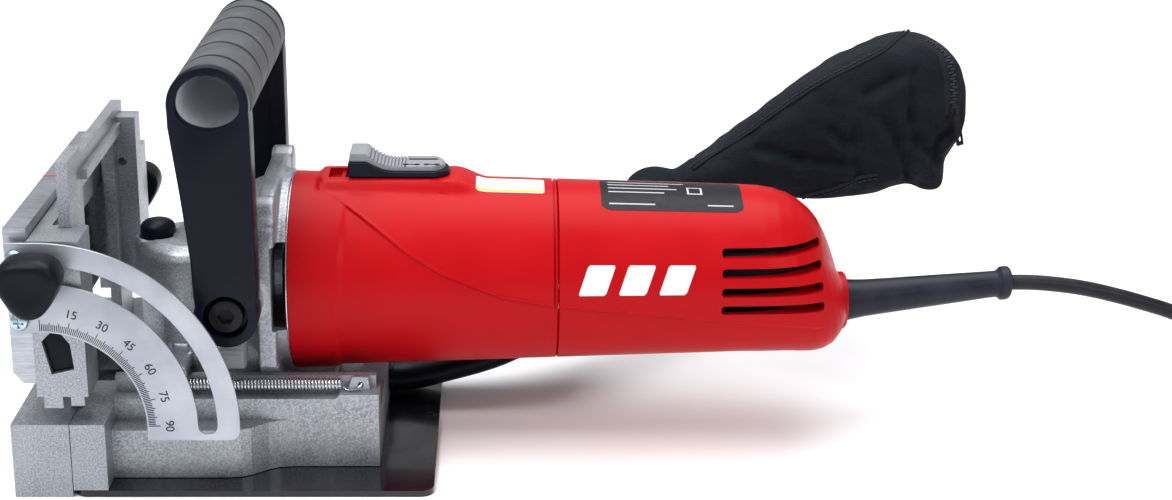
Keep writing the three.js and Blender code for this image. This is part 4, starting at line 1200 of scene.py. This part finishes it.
def crease_move(p):
    """Soft folds: drawn ones on the sack's sides, short gathers at the neck, and a light rumple all over."""
    x, y, z = p / MM
    side = -1 if y < BAG_Y else 1
    sack = ease((x - 212) / 20)
    flank = ease((abs(y - BAG_Y) - 4) / 14)
    share = (DRAWN_Y - EYE.y) / (y - EYE.y)
    seen_x, seen_z = EYE.x + (x - EYE.x) * share, EYE.z + (z - EYE.z) * share
    folds = fold_height(seen_x, seen_z) * flank * sack
    gathers = (1.3 * math.sin(7 * math.atan2(z - 60, y - 80))
               * (1 - ease((x - 205) / 22)) * ease((x - 165) / 10))
    rumple = (1.3 * noise.noise(Vector((x * 0.05, y * 0.05, z * 0.07)))
              + 0.8 * noise.noise(Vector((x, y, z)) * 0.15))
    return Vector((0, side * (folds + 1.3 * rumple), 0.3 * rumple + 0.7 * gathers)) * MM


def on_bag(tree, line):
    """Points and normals on the bag's near side under a line of (x, z) points, seen from the front."""
    hits = []
    eye = EYE * MM
    for point in smooth_line([(x, DRAWN_Y, z) for x, z in line], 6):
        hit, normal = tree.ray_cast(eye, (point * MM - eye).normalized())[:2]
        if hit is None:
            hit, normal = tree.find_nearest(point * MM)[:2]
        hits.append((hit / MM, normal))
    for _ in range(3):
        hits = [hits[0]] + [((a[0] + 2 * b[0] + c[0]) / 4, (a[1] + 2 * b[1] + c[1]).normalized())
                            for a, b, c in zip(hits, hits[1:], hits[2:])] + [hits[-1]]
    return [h[0] for h in hits], [h[1] for h in hits]


def ribbon(points, normal, half, low, high, shift=0.0):
    """A flat strip along points, its width square to the normal, or to a list of one normal a point."""
    normals = normal if isinstance(normal, list) else [normal] * len(points)
    rings = []
    for i, (p, n) in enumerate(zip(points, normals)):
        ahead = (points[min(i + 1, len(points) - 1)] - points[max(i - 1, 0)]).normalized()
        side = ahead.cross(n).normalized()
        corners = ((shift - half, low), (shift + half, low),
                   (shift + half * 0.8, high), (shift - half * 0.8, high))
        rings.append([tuple(p + side * u + n * v) for u, v in corners])
    return loft(rings)


def evenly(points, normals, step):
    """Places every step millimetres along a line: point, normal and direction."""
    result, left = [], 0.0
    for i in range(len(points) - 1):
        way = points[i + 1] - points[i]
        while left < way.length:
            result.append((points[i] + way * (left / way.length), normals[i], way.normalized()))
            left += step
        left -= way.length
    return result


def sew(bag):
    """Piped seams with stitches, and the zip at the end of the sack."""
    tree = BVHTree.FromObject(bag, bpy.context.evaluated_depsgraph_get())
    for name, line in (("top", SEAM), ("low", LOW_SEAM)):
        points, normals = on_bag(tree, line)
        piping = sweep([p + n * 0.25 for p, n in zip(points, normals)], circle(0.75, 10))
        place(piping, f"bag_seam_{name}", "piping", angle=180, body="base")
        stitches = [ribbon(from_start(p, t, (-0.75, 0.75)), n, 0.22, 0.0, 0.5, 2.0)
                    for p, n, t in evenly(points, normals, 2.4)]
        place(joined(*stitches), f"bag_stitches_{name}", "thread", body="base")
    points, normals = on_bag(tree, ZIP)
    place(ribbon(points, normals, 4.2, -0.3, 0.55), "bag_zip_tape", "piping", angle=60, body="base")
    teeth = [ribbon(from_start(p, t, (-0.42, 0.42)), n, 1.25, 0.3, 1.25, 0.45 * (-1) ** i)
             for i, (p, n, t) in enumerate(evenly(points, normals, 1.3))]
    place(joined(*teeth), "bag_zip_teeth", "thread", body="base")
    p, n, t = points[-1], normals[-1], (points[-1] - points[-3]).normalized()
    slider = ribbon(from_start(p, t, (-4, -3.4, 1.4, 2.4)), n, 2.6, -0.2, 2.0)
    bridge = ribbon(from_start(p, t, (-2.6, -2.2, 0.4, 0.8)), n, 0.8, 1.6, 3.0)
    hang = Vector((0.18, -0.1, -1)).normalized()
    top = p + n * 2.8
    tab = ribbon(from_start(top, hang, (0, 3, 12, 13.5)), n, 1.9, -0.45, 0.45)
    hole = ribbon(from_start(top, hang, (8.4, 11.8)), n, 0.9, -2, 2)
    place(joined(slider, bridge, minus(tab, hole)), "bag_zip_slider", "black_steel", angle=30, body="base")


def ribbed(start, distances, radii):
    """A round body along the bag's duct, with a radius at each distance."""
    return sweep(from_start(start, BAG_WAY, distances),
                 lambda t: circle(radii[round(t * (len(radii) - 1))], 64))


def make_cuff():
    start = DUCT_TIP + 2.4 * BAG_WAY
    cuff = ribbed(start, (0, 0.5, 2, 2.5, 5, 5.5, 8.5, 9, 12, 12.5, 15.5, 16, 17.5, 18),
                  (12.2, 12.9, 12.9, 12.2, 12.2, 12.9, 12.9, 12.2, 12.2, 12.9, 12.9, 12.4, 12.9, 12.4))
    place(minus(cuff, ribbed(start, (-4, 24), (10, 10))), "bag_cuff_ring", "rubber", "bag_cuff", 40, "base")
    hem = ribbed(start, (13.6, 14.2, 15.4, 16.6, 17.8, 18.6), (14.0, 14.7, 14.4, 14.7, 14.4, 13.4))
    hem = minus(hem, ribbed(start, (10, 24), (12.95, 12.95)))
    place(hem, "bag_neck_hem", "piping", angle=60, body="base")


# ---------------------------------------------------------------- inner parts
INNER = (
    ("steel", 0.15, 1, "spindle_bearing_lower bearing_cap armature_bearing_front armature_bearing_rear "
                       "armature_core drive_pinion spindle_shaft crown_gear blade_flange clamp_nut "
                       "saw_blade"),
    ("brass", 0.15, 1, "spindle_bearing_upper brush_holder_left brush_holder_right"),
    ("black", 0.3, 2, "bearing_bridge brush_left brush_right switch_body"),
    ("copper", 0.3, 2, "stator"),
    ("copper", 0.1, 1, "commutator"),
    ("grey", 0.2, 1, "cooling_fan"),
    ("cast", 0.4, 2, "bearing_plate"))


def dress_inner():
    for look, edge, segments, nodes in INNER:
        for node in nodes.split():
            dress(node, look, edge, segments)


# ---------------------------------------------------------------- studio
def make_studio():
    size = 6.0
    mesh = bpy.data.meshes.new("floor")
    corners = [(x, y, 0) for x, y in rectangle(-size, size, -size, size)]
    mesh.from_pydata(corners, [], [(0, 1, 2, 3)])
    p = Paint("floor", (0.86, 0.86, 0.87), 0.7)
    mesh.materials.append(p.finish(None, p.range(p.noise(3, 2.0), 0.62, 0.78)))
    linked("floor", mesh)
    world = bpy.data.worlds.new("studio")
    world.use_nodes = True
    background = world.node_tree.nodes["Background"]
    background.inputs["Color"].default_value = (0.97, 0.98, 1.0, 1)
    background.inputs["Strength"].default_value = 0.5
    bpy.context.scene.world = world
    aim = Vector((0.12, 0, 0.06))
    for name, at, power, size in (("key", (-0.5, -0.55, 1.2), 15, 0.7), ("fill", (0.9, -0.9, 0.8), 4, 0.6),
                                  ("top", (0.2, 0.3, 1.4), 24, 1.3)):
        data = bpy.data.lights.new(name, "AREA")
        data.energy = power
        data.size = size
        lamp = linked(name, data)
        lamp.location = at
        lamp.rotation_euler = (aim - Vector(at)).to_track_quat("-Z", "Y").to_euler()


make_base()
for name, side in SIDES:
    make_spring(f"return_spring_{name}", side)
make_dust_port()
make_cuff()
make_fence()
make_gear_case()
make_button()
make_turret()
make_handle()
make_motor_housing()
make_rear_housing()
make_air_guide()
make_labels()
make_switch()
make_boot()
make_bag()
dress_inner()
make_studio()
